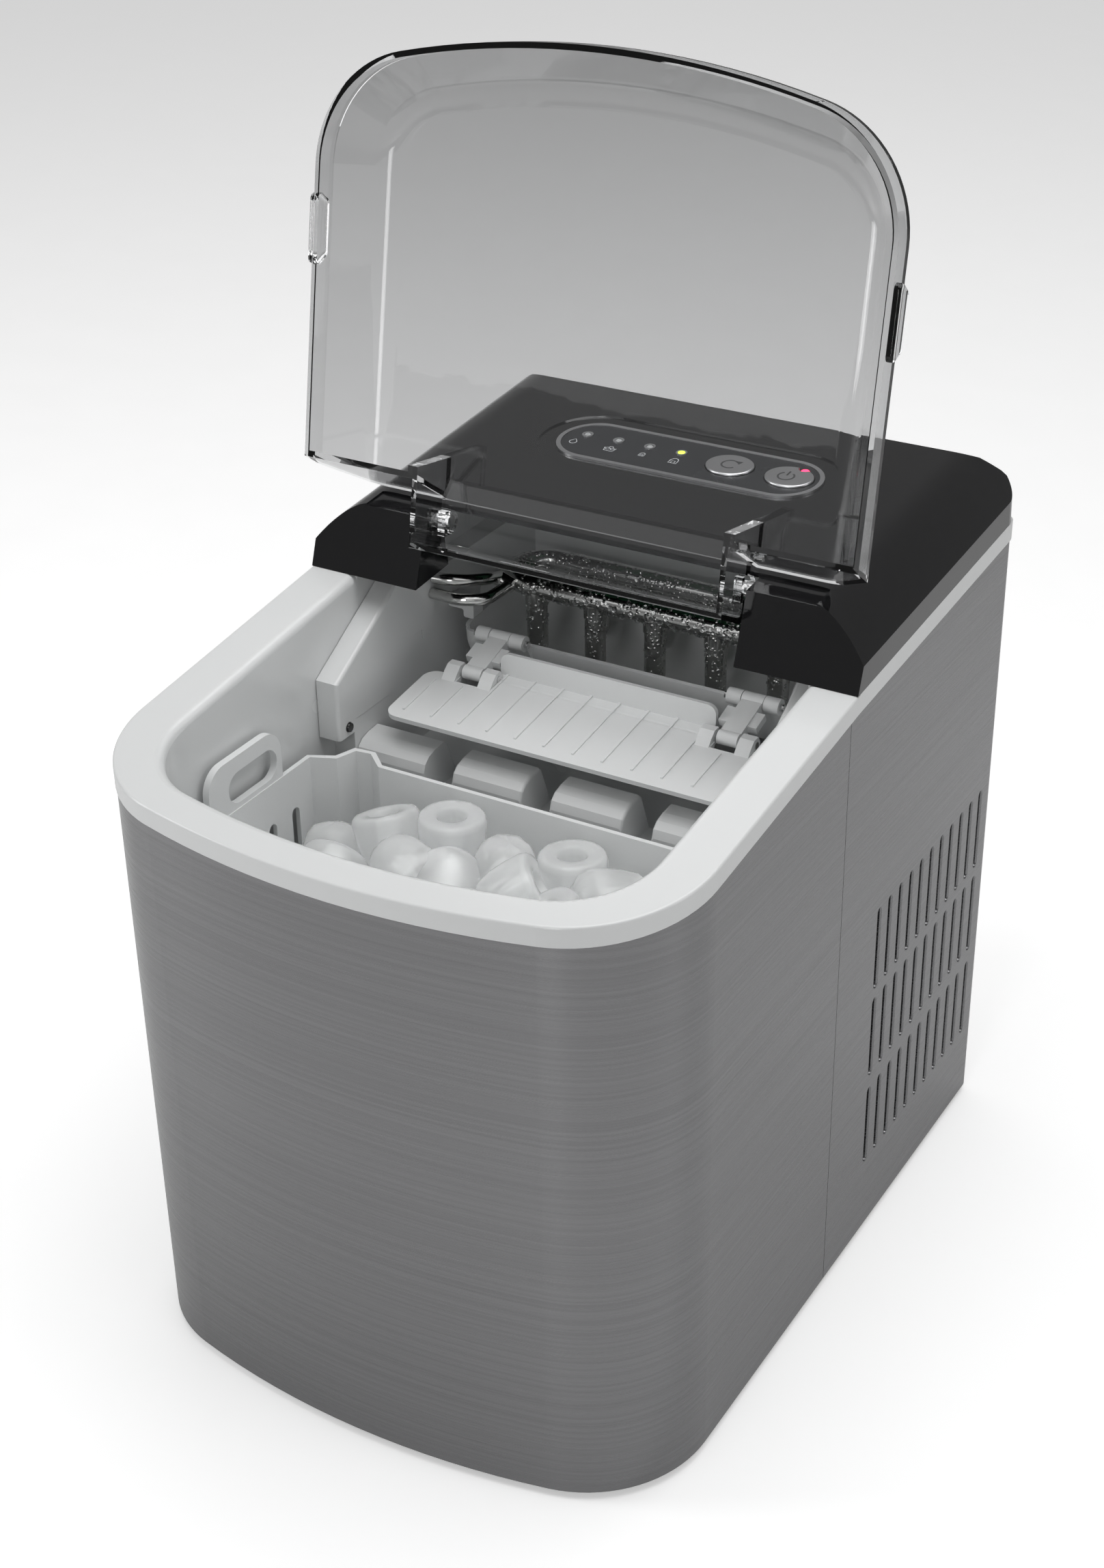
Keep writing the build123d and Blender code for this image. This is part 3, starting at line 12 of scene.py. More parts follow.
import bmesh
import bpy
from mathutils import Matrix, Vector


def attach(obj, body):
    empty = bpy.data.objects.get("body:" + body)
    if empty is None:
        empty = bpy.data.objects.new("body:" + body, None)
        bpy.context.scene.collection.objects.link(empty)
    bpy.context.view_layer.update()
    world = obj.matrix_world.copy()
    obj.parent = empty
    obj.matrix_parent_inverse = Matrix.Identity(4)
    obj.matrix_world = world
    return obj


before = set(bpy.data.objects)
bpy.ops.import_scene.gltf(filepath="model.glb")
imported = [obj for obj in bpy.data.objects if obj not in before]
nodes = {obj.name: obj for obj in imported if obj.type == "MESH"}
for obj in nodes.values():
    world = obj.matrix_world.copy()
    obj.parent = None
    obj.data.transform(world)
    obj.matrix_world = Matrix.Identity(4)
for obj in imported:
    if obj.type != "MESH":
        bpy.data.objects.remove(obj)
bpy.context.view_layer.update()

# %% [markdown]
# ## Building blocks for finishes
# Every finish below is a material with one Principled shader. Effects that
# several finishes share, such as a fine mould grain or a film of dust, are node
# groups with named inputs, so each material can use them with its own values.

# %% Small helpers for node trees
def new_tree_group(name, inputs, outputs):
    """An empty shader node group with its sockets."""
    group = bpy.data.node_groups.new(name, "ShaderNodeTree")
    for label, kind, value in inputs:
        socket = group.interface.new_socket(label, in_out="INPUT", socket_type=kind)
        socket.default_value = value
    for label, kind in outputs:
        group.interface.new_socket(label, in_out="OUTPUT", socket_type=kind)
    enter = group.nodes.new("NodeGroupInput")
    leave = group.nodes.new("NodeGroupOutput")
    return group, enter, leave


def add(tree, kind, **values):
    """A node, with its input sockets set by name or number."""
    node = tree.nodes.new(kind)
    for key, value in values.items():
        if key.startswith("in_"):
            node.inputs[int(key[3:])].default_value = value
        else:
            setattr(node, key, value)
    return node


def join(tree, source, socket, target, plug):
    """Link an output to an input by name."""
    tree.links.new(source.outputs[socket], target.inputs[plug])


# %% [markdown]
# ## Shared effects
# *Mould grain* is the faint unevenness of any moulded or painted face. *Brushed
# grain* is drawn out along the sheet, which is what makes steel catch light in
# long soft bands. *Dust film* lightens the faces that look up. *Droplets* are
# beads of condensed water, made from a Voronoi pattern.

# %% Mould grain
def build_mould_grain():
    group, enter, leave = new_tree_group(
        "mould_grain",
        [("Scale", "NodeSocketFloat", 900.0), ("Low", "NodeSocketFloat", 0.2),
         ("High", "NodeSocketFloat", 0.3)],
        [("Roughness", "NodeSocketFloat"), ("Height", "NodeSocketFloat"), ("Cloud", "NodeSocketFloat")])
    where = add(group, "ShaderNodeTexCoord")
    fine = add(group, "ShaderNodeTexNoise", in_3=3.0)
    broad = add(group, "ShaderNodeTexNoise", in_2=22.0, in_3=3.0)
    spread = add(group, "ShaderNodeMapRange", in_1=0.3, in_2=0.7)
    join(group, where, "Object", fine, "Vector")
    join(group, where, "Object", broad, "Vector")
    join(group, enter, "Scale", fine, "Scale")
    join(group, broad, 0, spread, "Value")
    join(group, enter, "Low", spread, "To Min")
    join(group, enter, "High", spread, "To Max")
    join(group, spread, 0, leave, "Roughness")
    join(group, fine, 0, leave, "Height")
    join(group, broad, 0, leave, "Cloud")
    return group


# %% Brushed grain
def build_brushed_grain():
    group, enter, leave = new_tree_group(
        "brushed_grain",
        [("Lines", "NodeSocketFloat", 2600.0), ("Length", "NodeSocketFloat", 14.0)],
        [("Grain", "NodeSocketFloat"), ("Streak", "NodeSocketFloat")])
    where = add(group, "ShaderNodeTexCoord")
    shape = add(group, "ShaderNodeCombineXYZ")
    fine = add(group, "ShaderNodeTexNoise", in_2=1.0, in_3=2.0)
    broad_map = add(group, "ShaderNodeMapping", vector_type="POINT")
    broad_map.inputs["Scale"].default_value = (2.0, 2.0, 900.0)
    broad = add(group, "ShaderNodeTexNoise", in_2=1.0, in_3=3.0)
    mapping = add(group, "ShaderNodeMapping", vector_type="POINT")
    join(group, enter, "Length", shape, "X")
    join(group, enter, "Length", shape, "Y")
    join(group, enter, "Lines", shape, "Z")
    join(group, shape, 0, mapping, "Scale")
    join(group, where, "Object", mapping, "Vector")
    join(group, where, "Object", broad_map, "Vector")
    join(group, mapping, 0, fine, "Vector")
    join(group, broad_map, 0, broad, "Vector")
    join(group, fine, 0, leave, "Grain")
    join(group, broad, 0, leave, "Streak")
    return group


# %% Dust film
def build_dust_film():
    group, enter, leave = new_tree_group(
        "dust_film",
        [("Color", "NodeSocketColor", (0.5, 0.5, 0.5, 1)), ("Amount", "NodeSocketFloat", 0.05)],
        [("Color", "NodeSocketColor"), ("Mask", "NodeSocketFloat")])
    shape = add(group, "ShaderNodeNewGeometry")
    split = add(group, "ShaderNodeSeparateXYZ")
    where = add(group, "ShaderNodeTexCoord")
    spots = add(group, "ShaderNodeTexNoise", in_2=240.0, in_3=5.0)
    upward = add(group, "ShaderNodeMapRange", in_1=0.2, in_2=1.0)
    product = add(group, "ShaderNodeMath", operation="MULTIPLY")
    amount = add(group, "ShaderNodeMath", operation="MULTIPLY")
    mix = add(group, "ShaderNodeMix", data_type="RGBA")
    join(group, shape, "Normal", split, 0)
    join(group, split, "Z", upward, "Value")
    join(group, where, "Object", spots, "Vector")
    join(group, upward, 0, product, 0)
    join(group, spots, 0, product, 1)
    join(group, product, 0, amount, 0)
    join(group, enter, "Amount", amount, 1)
    group.links.new(amount.outputs[0], mix.inputs[0])
    group.links.new(enter.outputs["Color"], mix.inputs[6])
    mix.inputs[7].default_value = (0.7, 0.7, 0.69, 1)
    group.links.new(mix.outputs[2], leave.inputs["Color"])
    join(group, amount, 0, leave, "Mask")
    return group


# %% Droplets
def build_droplets():
    group, enter, leave = new_tree_group(
        "droplets",
        [("Scale", "NodeSocketFloat", 420.0), ("Size", "NodeSocketFloat", 0.42)],
        [("Height", "NodeSocketFloat"), ("Mask", "NodeSocketFloat")])
    where = add(group, "ShaderNodeTexCoord")
    cells = add(group, "ShaderNodeTexVoronoi")
    dome = add(group, "ShaderNodeMapRange", in_3=1.0, in_4=0.0, interpolation_type="SMOOTHSTEP")
    cut = add(group, "ShaderNodeMath", operation="GREATER_THAN", in_1=0.15)
    join(group, where, "Object", cells, "Vector")
    join(group, enter, "Scale", cells, "Scale")
    join(group, cells, "Distance", dome, "Value")
    join(group, enter, "Size", dome, "From Max")
    join(group, dome, 0, cut, 0)
    join(group, dome, 0, leave, "Height")
    join(group, cut, 0, leave, "Mask")
    return group


EFFECTS = {
    "mould_grain": build_mould_grain(),
    "brushed_grain": build_brushed_grain(),
    "dust_film": build_dust_film(),
    "droplets": build_droplets(),
}
print("shared effects", sorted(EFFECTS))

# %% A new material with its shader
def start_material(name, color, rough=0.4, metal=0.0, **own):
    """A material whose uniform numbers sit on the shader itself."""
    material = bpy.data.materials.new(name)
    material.use_nodes = True
    shader = material.node_tree.nodes["Principled BSDF"]
    shader.inputs["Base Color"].default_value = (*color, 1)
    shader.inputs["Roughness"].default_value = rough
    shader.inputs["Metallic"].default_value = metal
    for key, value in own.items():
        shader.inputs[key.replace("_", " ").title().replace("Ior", "IOR")].default_value = value
    return material, material.node_tree, shader


def use_effect(tree, name, **values):
    """Place a shared effect in a material's node tree."""
    node = tree.nodes.new("ShaderNodeGroup")
    node.node_tree = EFFECTS[name]
    for key, value in values.items():
        node.inputs[key].default_value = value
    return node


def bump_from(tree, shader, source, socket, distance, strength=1.0):
    """Feed a height into the shader's normal."""
    bump = tree.nodes.new("ShaderNodeBump")
    bump.inputs["Strength"].default_value = strength
    bump.inputs["Distance"].default_value = distance
    join(tree, source, socket, bump, "Height")
    join(tree, bump, "Normal", shader, "Normal")
    return bump


# %% [markdown]
# ## Moulded plastics
# White and black mouldings differ only in colour and gloss: both have a soft
# variation in roughness, a barely visible surface ripple and a little dust.

# %% Moulded plastic
def moulded(name, color, low, high, scale=900.0, depth=0.00002, dust=0.04, **own):
    material, tree, shader = start_material(name, color, **own)
    grain = use_effect(tree, "mould_grain", Scale=scale, Low=low, High=high)
    film = use_effect(tree, "dust_film", Color=(*color, 1), Amount=dust)
    join(tree, grain, "Roughness", shader, "Roughness")
    join(tree, film, "Color", shader, "Base Color")
    bump_from(tree, shader, grain, "Height", depth)
    return material


white_gloss = moulded("white_gloss", (0.72, 0.73, 0.73), 0.16, 0.28, coat_weight=0.2)
white_satin = moulded("white_satin", (0.78, 0.79, 0.79), 0.30, 0.42, scale=1500, depth=0.00003)
black_gloss = moulded("black_gloss", (0.004, 0.004, 0.0045), 0.07, 0.13, scale=500, depth=0.000008,
                      dust=0.006, coat_weight=0.3)
black_satin = moulded("black_satin", (0.012, 0.012, 0.012), 0.4, 0.55, scale=2400, depth=0.00005)
rubber = moulded("rubber", (0.015, 0.015, 0.015), 0.65, 0.85, scale=3000, depth=0.00008)
panel_grey = moulded("panel_grey", (0.018, 0.019, 0.021), 0.24, 0.34, scale=2600, depth=0.00002, dust=0.01)
hose_milky = moulded("hose_milky", (0.7, 0.71, 0.7), 0.3, 0.4, coat_weight=0.3)
foam_white = moulded("foam_white", (0.82, 0.8, 0.75), 0.7, 0.9, scale=420, depth=0.0006)
board_green = moulded("board_green", (0.02, 0.12, 0.05), 0.25, 0.35, scale=1200, depth=0.00003)
black_enamel = moulded("black_enamel", (0.012, 0.012, 0.013), 0.2, 0.32, scale=700, depth=0.00003)
grey_can = moulded("grey_can", (0.3, 0.31, 0.33), 0.35, 0.45, scale=900, depth=0.00003, metal=0.7)
print("plastics and paints ready")

# %% [markdown]
# ## Brushed steel
# The sheet is brushed level, round the cabinet. Reflections then spread up and
# down, so the shader is anisotropic with its tangent running round the Z axis,
# and the grain adds fine lines to both roughness and height.

# %% Brushed steel
def brushed(name, color, low, high, lines=2600.0):
    material, tree, shader = start_material(name, color, metal=1.0)
    grain = use_effect(tree, "brushed_grain", Lines=lines)
    tone = tree.nodes.new("ShaderNodeMapRange")
    rough = tree.nodes.new("ShaderNodeMapRange")
    tint = tree.nodes.new("ShaderNodeMix")
    tint.data_type = "RGBA"
    tint.inputs[6].default_value = (*[c * 0.93 for c in color], 1)
    tint.inputs[7].default_value = (*[min(c * 1.06, 1) for c in color], 1)
    tone.inputs["From Min"].default_value = 0.3
    tone.inputs["From Max"].default_value = 0.7
    rough.inputs["From Min"].default_value = 0.3
    rough.inputs["From Max"].default_value = 0.7
    rough.inputs["To Min"].default_value = low
    rough.inputs["To Max"].default_value = high
    join(tree, grain, "Streak", tone, "Value")
    join(tree, grain, "Grain", rough, "Value")
    tree.links.new(tone.outputs[0], tint.inputs[0])
    tree.links.new(tint.outputs[2], shader.inputs["Base Color"])
    join(tree, rough, 0, shader, "Roughness")
    shader.inputs["Anisotropic"].default_value = 0.75
    shader.inputs["Anisotropic Rotation"].default_value = 0.25
    around = tree.nodes.new("ShaderNodeTangent")
    around.direction_type = "RADIAL"
    around.axis = "Z"
    tree.links.new(around.outputs[0], shader.inputs["Tangent"])
    bump_from(tree, shader, grain, "Grain", 0.000012)
    return material


steel_skin = brushed("steel_skin", (0.25, 0.25, 0.255), 0.2, 0.3, lines=4200.0)
print("steel ready")

# %% Bright and satin metals
def plain_metal(name, color, low, high, scale=1600.0, depth=0.00001):
    material, tree, shader = start_material(name, color, metal=1.0)
    grain = use_effect(tree, "mould_grain", Scale=scale, Low=low, High=high)
    join(tree, grain, "Roughness", shader, "Roughness")
    bump_from(tree, shader, grain, "Height", depth)
    return material


silver_satin = plain_metal("silver_satin", (0.62, 0.62, 0.63), 0.26, 0.34, scale=3000, depth=0.00002)
bright_screw = plain_metal("bright_screw", (0.66, 0.66, 0.66), 0.14, 0.24)
fin_aluminium = plain_metal("fin_aluminium", (0.72, 0.73, 0.74), 0.3, 0.45)
copper_pipe = plain_metal("copper_pipe", (0.72, 0.33, 0.18), 0.2, 0.38, scale=300, depth=0.00004)


# %% Frosted nickel with condensation
def frosted_nickel(name, color, drop_scale, drop_depth):
    material, tree, shader = start_material(name, color, metal=1.0)
    grain = use_effect(tree, "mould_grain", Scale=700.0, Low=0.1, High=0.3)
    beads = use_effect(tree, "droplets", Scale=drop_scale)
    join(tree, grain, "Roughness", shader, "Roughness")
    bump_from(tree, shader, beads, "Height", drop_depth)
    return material


nickel_wet = frosted_nickel("nickel_wet", (0.55, 0.55, 0.54), 520.0, 0.0004)
nickel_dry = plain_metal("nickel_dry", (0.6, 0.6, 0.59), 0.08, 0.18)
print("metals ready")

# %% [markdown]
# ## Clear plastics, droplets and ice
# The lid is polished clear plastic, so it is a solid with a refractive index.
# Light passes it without a dark shadow: for shadow rays the material hands over
# to a transparent shader. Ice is rougher inside, with cloudy white parts.

# %% Clear materials
def clear_solid(name, color, rough, ior, shadow=0.92):
    material, tree, shader = start_material(name, color, rough=rough)
    shader.inputs["Transmission Weight"].default_value = 1.0
    shader.inputs["IOR"].default_value = ior
    grain = use_effect(tree, "mould_grain", Scale=60.0, Low=rough, High=rough + 0.02)
    bump_from(tree, shader, grain, "Cloud", 0.00006)
    join(tree, grain, "Roughness", shader, "Roughness")
    paths = tree.nodes.new("ShaderNodeLightPath")
    through = tree.nodes.new("ShaderNodeBsdfTransparent")
    through.inputs[0].default_value = (shadow, shadow, shadow, 1)
    mix = tree.nodes.new("ShaderNodeMixShader")
    output = tree.nodes["Material Output"]
    tree.links.new(paths.outputs["Is Shadow Ray"], mix.inputs[0])
    tree.links.new(shader.outputs[0], mix.inputs[1])
    tree.links.new(through.outputs[0], mix.inputs[2])
    tree.links.new(mix.outputs[0], output.inputs["Surface"])
    return material, tree, shader


lid_clear, _, _ = clear_solid("lid_clear", (0.97, 0.975, 0.98), 0.0, 1.47)
bead_clear, _, _ = clear_solid("bead_clear", (0.98, 0.99, 1.0), 0.0, 1.33)
ice_cloudy, ice_tree, ice_shader = clear_solid("ice_cloudy", (0.97, 0.98, 0.98), 0.12, 1.31, shadow=0.75)
ice_shader.inputs["Transmission Weight"].default_value = 0.62
ice_shader.inputs["Subsurface Weight"].default_value = 0.35
ice_shader.inputs["Subsurface Radius"].default_value = (0.02, 0.02, 0.02)
ice_shader.inputs["Subsurface Scale"].default_value = 0.6
print("clear materials ready")


# %% Lights on the panel
def lamp(name, color, glow):
    material, tree, shader = start_material(name, color, rough=0.25)
    grain = use_effect(tree, "mould_grain", Scale=2000.0, Low=0.2, High=0.3)
    join(tree, grain, "Roughness", shader, "Roughness")
    shader.inputs["Emission Color"].default_value = (*color, 1)
    shader.inputs["Emission Strength"].default_value = glow
    return material


lens_off = lamp("lens_off", (0.35, 0.36, 0.36), 0.0)
lens_lit = lamp("lens_lit", (0.62, 0.95, 0.05), 3.2)
lens_power = lamp("lens_power", (1.0, 0.04, 0.12), 2.6)

# %% [markdown]
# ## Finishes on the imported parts
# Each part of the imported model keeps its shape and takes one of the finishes.

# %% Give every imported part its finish
FINISH = {
    black_gloss: ["top_cover"],
    black_satin: ["base_pan", "fan_shroud", "fan_rotor", "power_inlet", "drain_cap", "water_pump"],
    rubber: ["foot_front_left", "foot_front_right", "foot_rear_left", "foot_rear_right", "compressor_mounts"],
    steel_skin: ["front_wrap", "side_panel_left", "side_panel_right", "back_panel"],
    bright_screw: ["back_screws", "lid_pins", "link_pins", "tray_shaft"],
    white_gloss: ["inner_liner", "sensor_cover_left", "sensor_cover_right", "fill_nozzle", "drain_spout"],
    white_satin: ["ice_guide", "water_tray", "link_left", "link_right", "ice_shovel", "ice_basket"],
    foam_white: ["foam_jacket"],
    silver_satin: ["panel_ring", "light_rings", "select_button", "power_button"],
    panel_grey: ["panel_plate"],
    lens_off: ["status_lights"],
    lens_lit: ["making_light"],
    lens_power: ["power_light"],
    board_green: ["control_board", "power_board"],
    lid_clear: ["lid"],
    nickel_wet: ["evaporator_tube", "freezing_fingers"],
    nickel_dry: ["hot_gas_lines"],
    hose_milky: ["suction_hose", "fill_hose", "drain_hose"],
    black_enamel: ["compressor"],
    fin_aluminium: ["condenser_fins"],
    copper_pipe: ["condenser_coil", "filter_drier"],
    grey_can: ["tray_motor", "fan_motor", "gas_valve"],
}
FINISH[black_gloss] += ["sensor_eye_left", "sensor_eye_right"]
for finish, names in FINISH.items():
    for name in names:
        for slot in nodes[name].material_slots:
            slot.material = finish
        print(name, "->", finish.name)

# %% [markdown]
# ## Making meshes
# The added pieces are made with two small tools: one turns vertices and faces
# into an object that rides on a body, the other spins a profile round an axis.

# %% Mesh helpers
def make_piece(name, verts, faces, material, body, smooth=True, slot=None):
    """A mesh object from vertices and faces, riding on a body."""
    mesh = bpy.data.meshes.new(name)
    mesh.from_pydata([tuple(v) for v in verts], [], faces)
    mesh.validate()
    mesh.update()
    if smooth:
        mesh.polygons.foreach_set("use_smooth", [True] * len(mesh.polygons))
    piece = bpy.data.objects.new(name, mesh)
    bpy.context.scene.collection.objects.link(piece)
    mesh.materials.append(material)
    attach(piece, body)
    return piece


def spun(profile, steps):
    """Vertices and faces of a profile (radius, height) spun round Z, closed at both ends."""
    verts = []
    faces = []
    for radius, height in profile:
        for k in range(steps):
            turn = 2 * math.pi * k / steps
            verts.append(Vector((radius * math.cos(turn), radius * math.sin(turn), height)))
    for row in range(len(profile) - 1):
        for k in range(steps):
            a = row * steps + k
            b = row * steps + (k + 1) % steps
            faces.append((a, b, b + steps, a + steps))
    faces.append(tuple(range(steps))[::-1])
    last = (len(profile) - 1) * steps
    faces.append(tuple(range(last, last + steps)))
    return verts, faces


def placed(parts):
    """Join many (verts, faces, matrix) into one list of vertices and faces."""
    all_verts = []
    all_faces = []
    for verts, faces, matrix in parts:
        start = len(all_verts)
        all_verts += [matrix @ v for v in verts]
        all_faces += [tuple(i + start for i in face) for face in faces]
    return all_verts, all_faces


def frame_at(origin, slope):
    """A frame with its X level and its Y sloping up to the back."""
    return Matrix.Translation(origin) @ Matrix.Rotation(slope, 4, "X")


# %% [markdown]
# ## Ice
# The fingers leave a thimble of ice: a blunt bullet with a round hole where the
# finger was. Each piece is the same spun profile, turned and set down with a
# fixed random seed. The basket holds them, so they ride on the basket.

# %% One thimble of ice
ICE_R = 0.0135
ICE_LONG = 0.026


def ice_profile():
    bore = 0.0052
    deep = 0.016
    return [
        (0.0004, ICE_LONG), (0.0045, ICE_LONG * 0.985), (0.0082, ICE_LONG * 0.93), (0.0108, ICE_LONG * 0.82),
        (0.0124, ICE_LONG * 0.62), (0.0132, ICE_LONG * 0.35), (ICE_R, 0.003), (ICE_R * 0.97, 0.0011),
        (ICE_R * 0.90, 0.0002), (ICE_R * 0.78, 0.0), (bore * 1.3, 0.0002), (bore * 1.05, 0.0012),
        (bore, 0.004), (bore * 0.92, deep * 0.7), (bore * 0.6, deep * 0.95), (0.0004, deep),
    ]


ice_verts, ice_faces = spun(ice_profile()[::-1], 28)
print("ice profile", len(ice_verts), "points each")

# %% Heap of ice in the basket
seed = random.Random(11)
ICE_PLACES = [
    # x, y, z, lean from upright, heading, all in millimetres and degrees
    (-72, -58, 186, 20, 200), (-47, -54, 196, 160, 60), (-60, -80, 188, 120, 10), (-30, -70, 198, 78, 250),
    (-22, -48, 200, 178, 0), (-8, -74, 196, 100, 30), (4, -52, 198, 12, 90), (18, -70, 200, 118, 300),
    (32, -48, 198, 176, 40), (50, -56, 200, 64, 320), (44, -78, 196, 150, 120), (70, -62, 196, 92, 80),
    (76, -86, 194, 60, 200), (-44, -100, 190, 100, 130), (-14, -98, 192, 70, 20), (12, -96, 196, 160, 260),
    (36, -102, 192, 86, 160), (60, -104, 190, 30, 20), (-66, -104, 184, 70, 300), (-28, -122, 184, 95, 60),
    (2, -122, 186, 80, 210), (30, -124, 184, 110, 330), (-80, -82, 180, 96, 100), (82, -50, 186, 40, 10),
]


def ice_matrix(x, y, z, lean, heading):
    turn = Matrix.Rotation(math.radians(heading), 4, "Z") @ Matrix.Rotation(math.radians(lean), 4, "X")
    middle = Matrix.Translation((0, 0, -ICE_LONG / 2))
    return Matrix.Translation((x / 1000, y / 1000, z / 1000)) @ turn @ middle


def heap_of_ice(name, places):
    for i, place in enumerate(places):
        warp = [v * (1 + seed.uniform(-0.012, 0.012)) for v in ice_verts]
        matrix = ice_matrix(*place)
        make_piece(f"{name}_{i + 1:02d}", [matrix @ v for v in warp], ice_faces, ice_cloudy, "basket",
                   slot="clear")


heap_of_ice("ice", ICE_PLACES)
low_layer = [(x, y, 158, seed.uniform(0, 180), seed.uniform(0, 360))
             for x in range(-70, 80, 28) for y in range(-118, -40, 30)]
heap_of_ice("ice_below", low_layer)
print("ice pieces", len(ICE_PLACES) + len(low_layer))

# %% [markdown]
# ## Beads of condensation
# Warm air meets the cold tube and fingers, and water beads on them, larger at
# the bottom of the run. The beads are many small flattened spheres in one mesh.

# %% Beads on the cold metal
def unit_ball(rings=5, steps=8):
    return spun([(math.sin(math.pi * k / rings), -math.cos(math.pi * k / rings))
                 for k in range(1, rings)], steps)


ball_verts, ball_faces = unit_ball()


def bead_at(point, outward, size):
    """A bead sunk a third of its width into the surface."""
    turn = outward.to_track_quat("Z", "Y").to_matrix().to_4x4()
    scale = Matrix.Diagonal((size, size, size * 0.72, 1))
    return ball_verts, ball_faces, Matrix.Translation(point) @ turn @ scale


def beads_on_tube(count, y, z, radius, x_low, x_high):
    parts = []
    for _ in range(count):
        x = seed.uniform(x_low, x_high)
        turn = seed.uniform(-math.pi, math.pi)
        out = Vector((0, math.cos(turn), math.sin(turn)))
        size = seed.uniform(0.0004, 0.0011) * (1.25 if out.z < 0.2 else 0.9)
        parts.append(bead_at(Vector((x, y, z)) + out * radius, out, size))
    return parts


def beads_on_finger(count, x, y, z_low, z_high, radius):
    parts = []
    for _ in range(count):
        turn = seed.uniform(0, 2 * math.pi)
        out = Vector((math.cos(turn), math.sin(turn), 0))
        z = seed.uniform(z_low, z_high)
        parts.append(bead_at(Vector((x, y, z)) + out * radius, out, seed.uniform(0.0003, 0.0008)))
    return parts


beads = beads_on_tube(520, 0.076, 0.2515, 0.0046, -0.062, 0.064)
beads += beads_on_tube(160, 0.104, 0.2515, 0.0046, -0.062, 0.064)
for i in range(5):
    beads += beads_on_finger(46, (i - 2) * 0.0283, 0.076, 0.2335, 0.246, 0.0045)
for i in range(4):
    beads += beads_on_finger(20, (i - 1.5) * 0.0283, 0.104, 0.2335, 0.246, 0.0045)
bead_mesh = placed(beads)
make_piece("cold_beads", *bead_mesh, bead_clear, "cabinet", slot="clear")
print("beads", len(beads))

# %% [markdown]
# ## Pressed lips of the vents
# Each slot in the side is pushed inward as it is punched, which leaves a soft
# lip that catches a glint at its lower end. A lip is a loop swept round the slot.

# %% Vent lips
def slot_loop(half_long, half_wide, steps=10):
    """Points round a slot in (across, up), with the outward direction of each."""
    loop = []
    straight = half_long - half_wide
    for k in range(steps + 1):
        turn = math.pi * k / steps
        loop.append(((half_wide * math.cos(turn), straight + half_wide * math.sin(turn)),
                     (math.cos(turn), math.sin(turn))))
    for k in range(steps + 1):
        turn = math.pi + math.pi * k / steps
        loop.append(((half_wide * math.cos(turn), -straight + half_wide * math.sin(turn)),
                     (math.cos(turn), math.sin(turn))))
    return loop


def vent_lip(y, z, side):
    """Curled lip: rows run from the sheet's face inward."""
    rows = [(0.0000, 0.00004), (-0.00035, -0.0001), (-0.0006, -0.0006),
            (-0.00065, -0.0016), (-0.00055, -0.0026)]
    loop = slot_loop(0.0194, 0.0021)
    verts = []
    faces = []
    n = len(loop)
    for grow, depth in rows:
        for (py, pz), (ny, nz) in loop:
            verts.append(Vector((side * (0.1205 + depth), y + py + ny * grow, z + pz + nz * grow)))
    for r in range(len(rows) - 1):
        for k in range(n):
            a = r * n + k
            b = r * n + (k + 1) % n
            faces.append((a, b, b + n, a + n))
    return verts, faces, Matrix.Identity(4)


lip_parts = [vent_lip(0.0406 + i * 0.01065, z, side)
             for side in (-1, 1) for z in (0.0583, 0.1031, 0.1462) for i in range(11)]
lip_mesh = placed(lip_parts)
vent_lips = make_piece("vent_lips", *lip_mesh, steel_skin, "cabinet", slot="steel_skin")
vent_lips.modifiers.new("sheet", "SOLIDIFY").thickness = 0.0003
print("vent lips", len(lip_parts))

# %% [markdown]
# ## Printed symbols
# The panel carries four small symbols beside its lights and one on each button.
# They are thin raised prints, drawn as flat outlines and laid on the sloping
# plate: a drop, a heap, a small and a large thimble, a turning arrow and a
# power ring.

# %% Symbol shapes
TRAY_SLOPE = math.radians(6.958)    # the tray, evaporator and rim all lean by this
COVER_SLOPE = math.radians(4.4)
KNEE = Vector((0, 0.008, 0.27424 + 0.008 * math.tan(TRAY_SLOPE)))
PANEL_FRAME = frame_at(KNEE, COVER_SLOPE)
print_white = moulded("print_white", (0.45, 0.46, 0.47), 0.35, 0.45, scale=3000, depth=0.00001)
print_dark = moulded("print_dark", (0.03, 0.03, 0.032), 0.35, 0.45, scale=3000, depth=0.00001)


def arc_points(cx, cy, r, start, stop, steps=20):
    return [(cx + r * math.cos(math.radians(start + (stop - start) * k / steps)),
             cy + r * math.sin(math.radians(start + (stop - start) * k / steps))) for k in range(steps + 1)]


def ribbon(points, width, closed=False):
    """A flat line of even width through the points, as short quads."""
    verts = []
    faces = []
    n = len(points)
    for k in range(n):
        a = Vector(points[(k - 1) % n] if closed or k else points[0])
        b = Vector(points[(k + 1) % n] if closed or k < n - 1 else points[-1])
        along = (b - a).normalized()
        side = Vector((-along.y, along.x)) * width / 2
        here = Vector(points[k])
        verts += [here + side, here - side]
    for k in range(n if closed else n - 1):
        a = 2 * k
        b = 2 * ((k + 1) % n)
        faces.append((a, a + 1, b + 1, b))
    return verts, faces


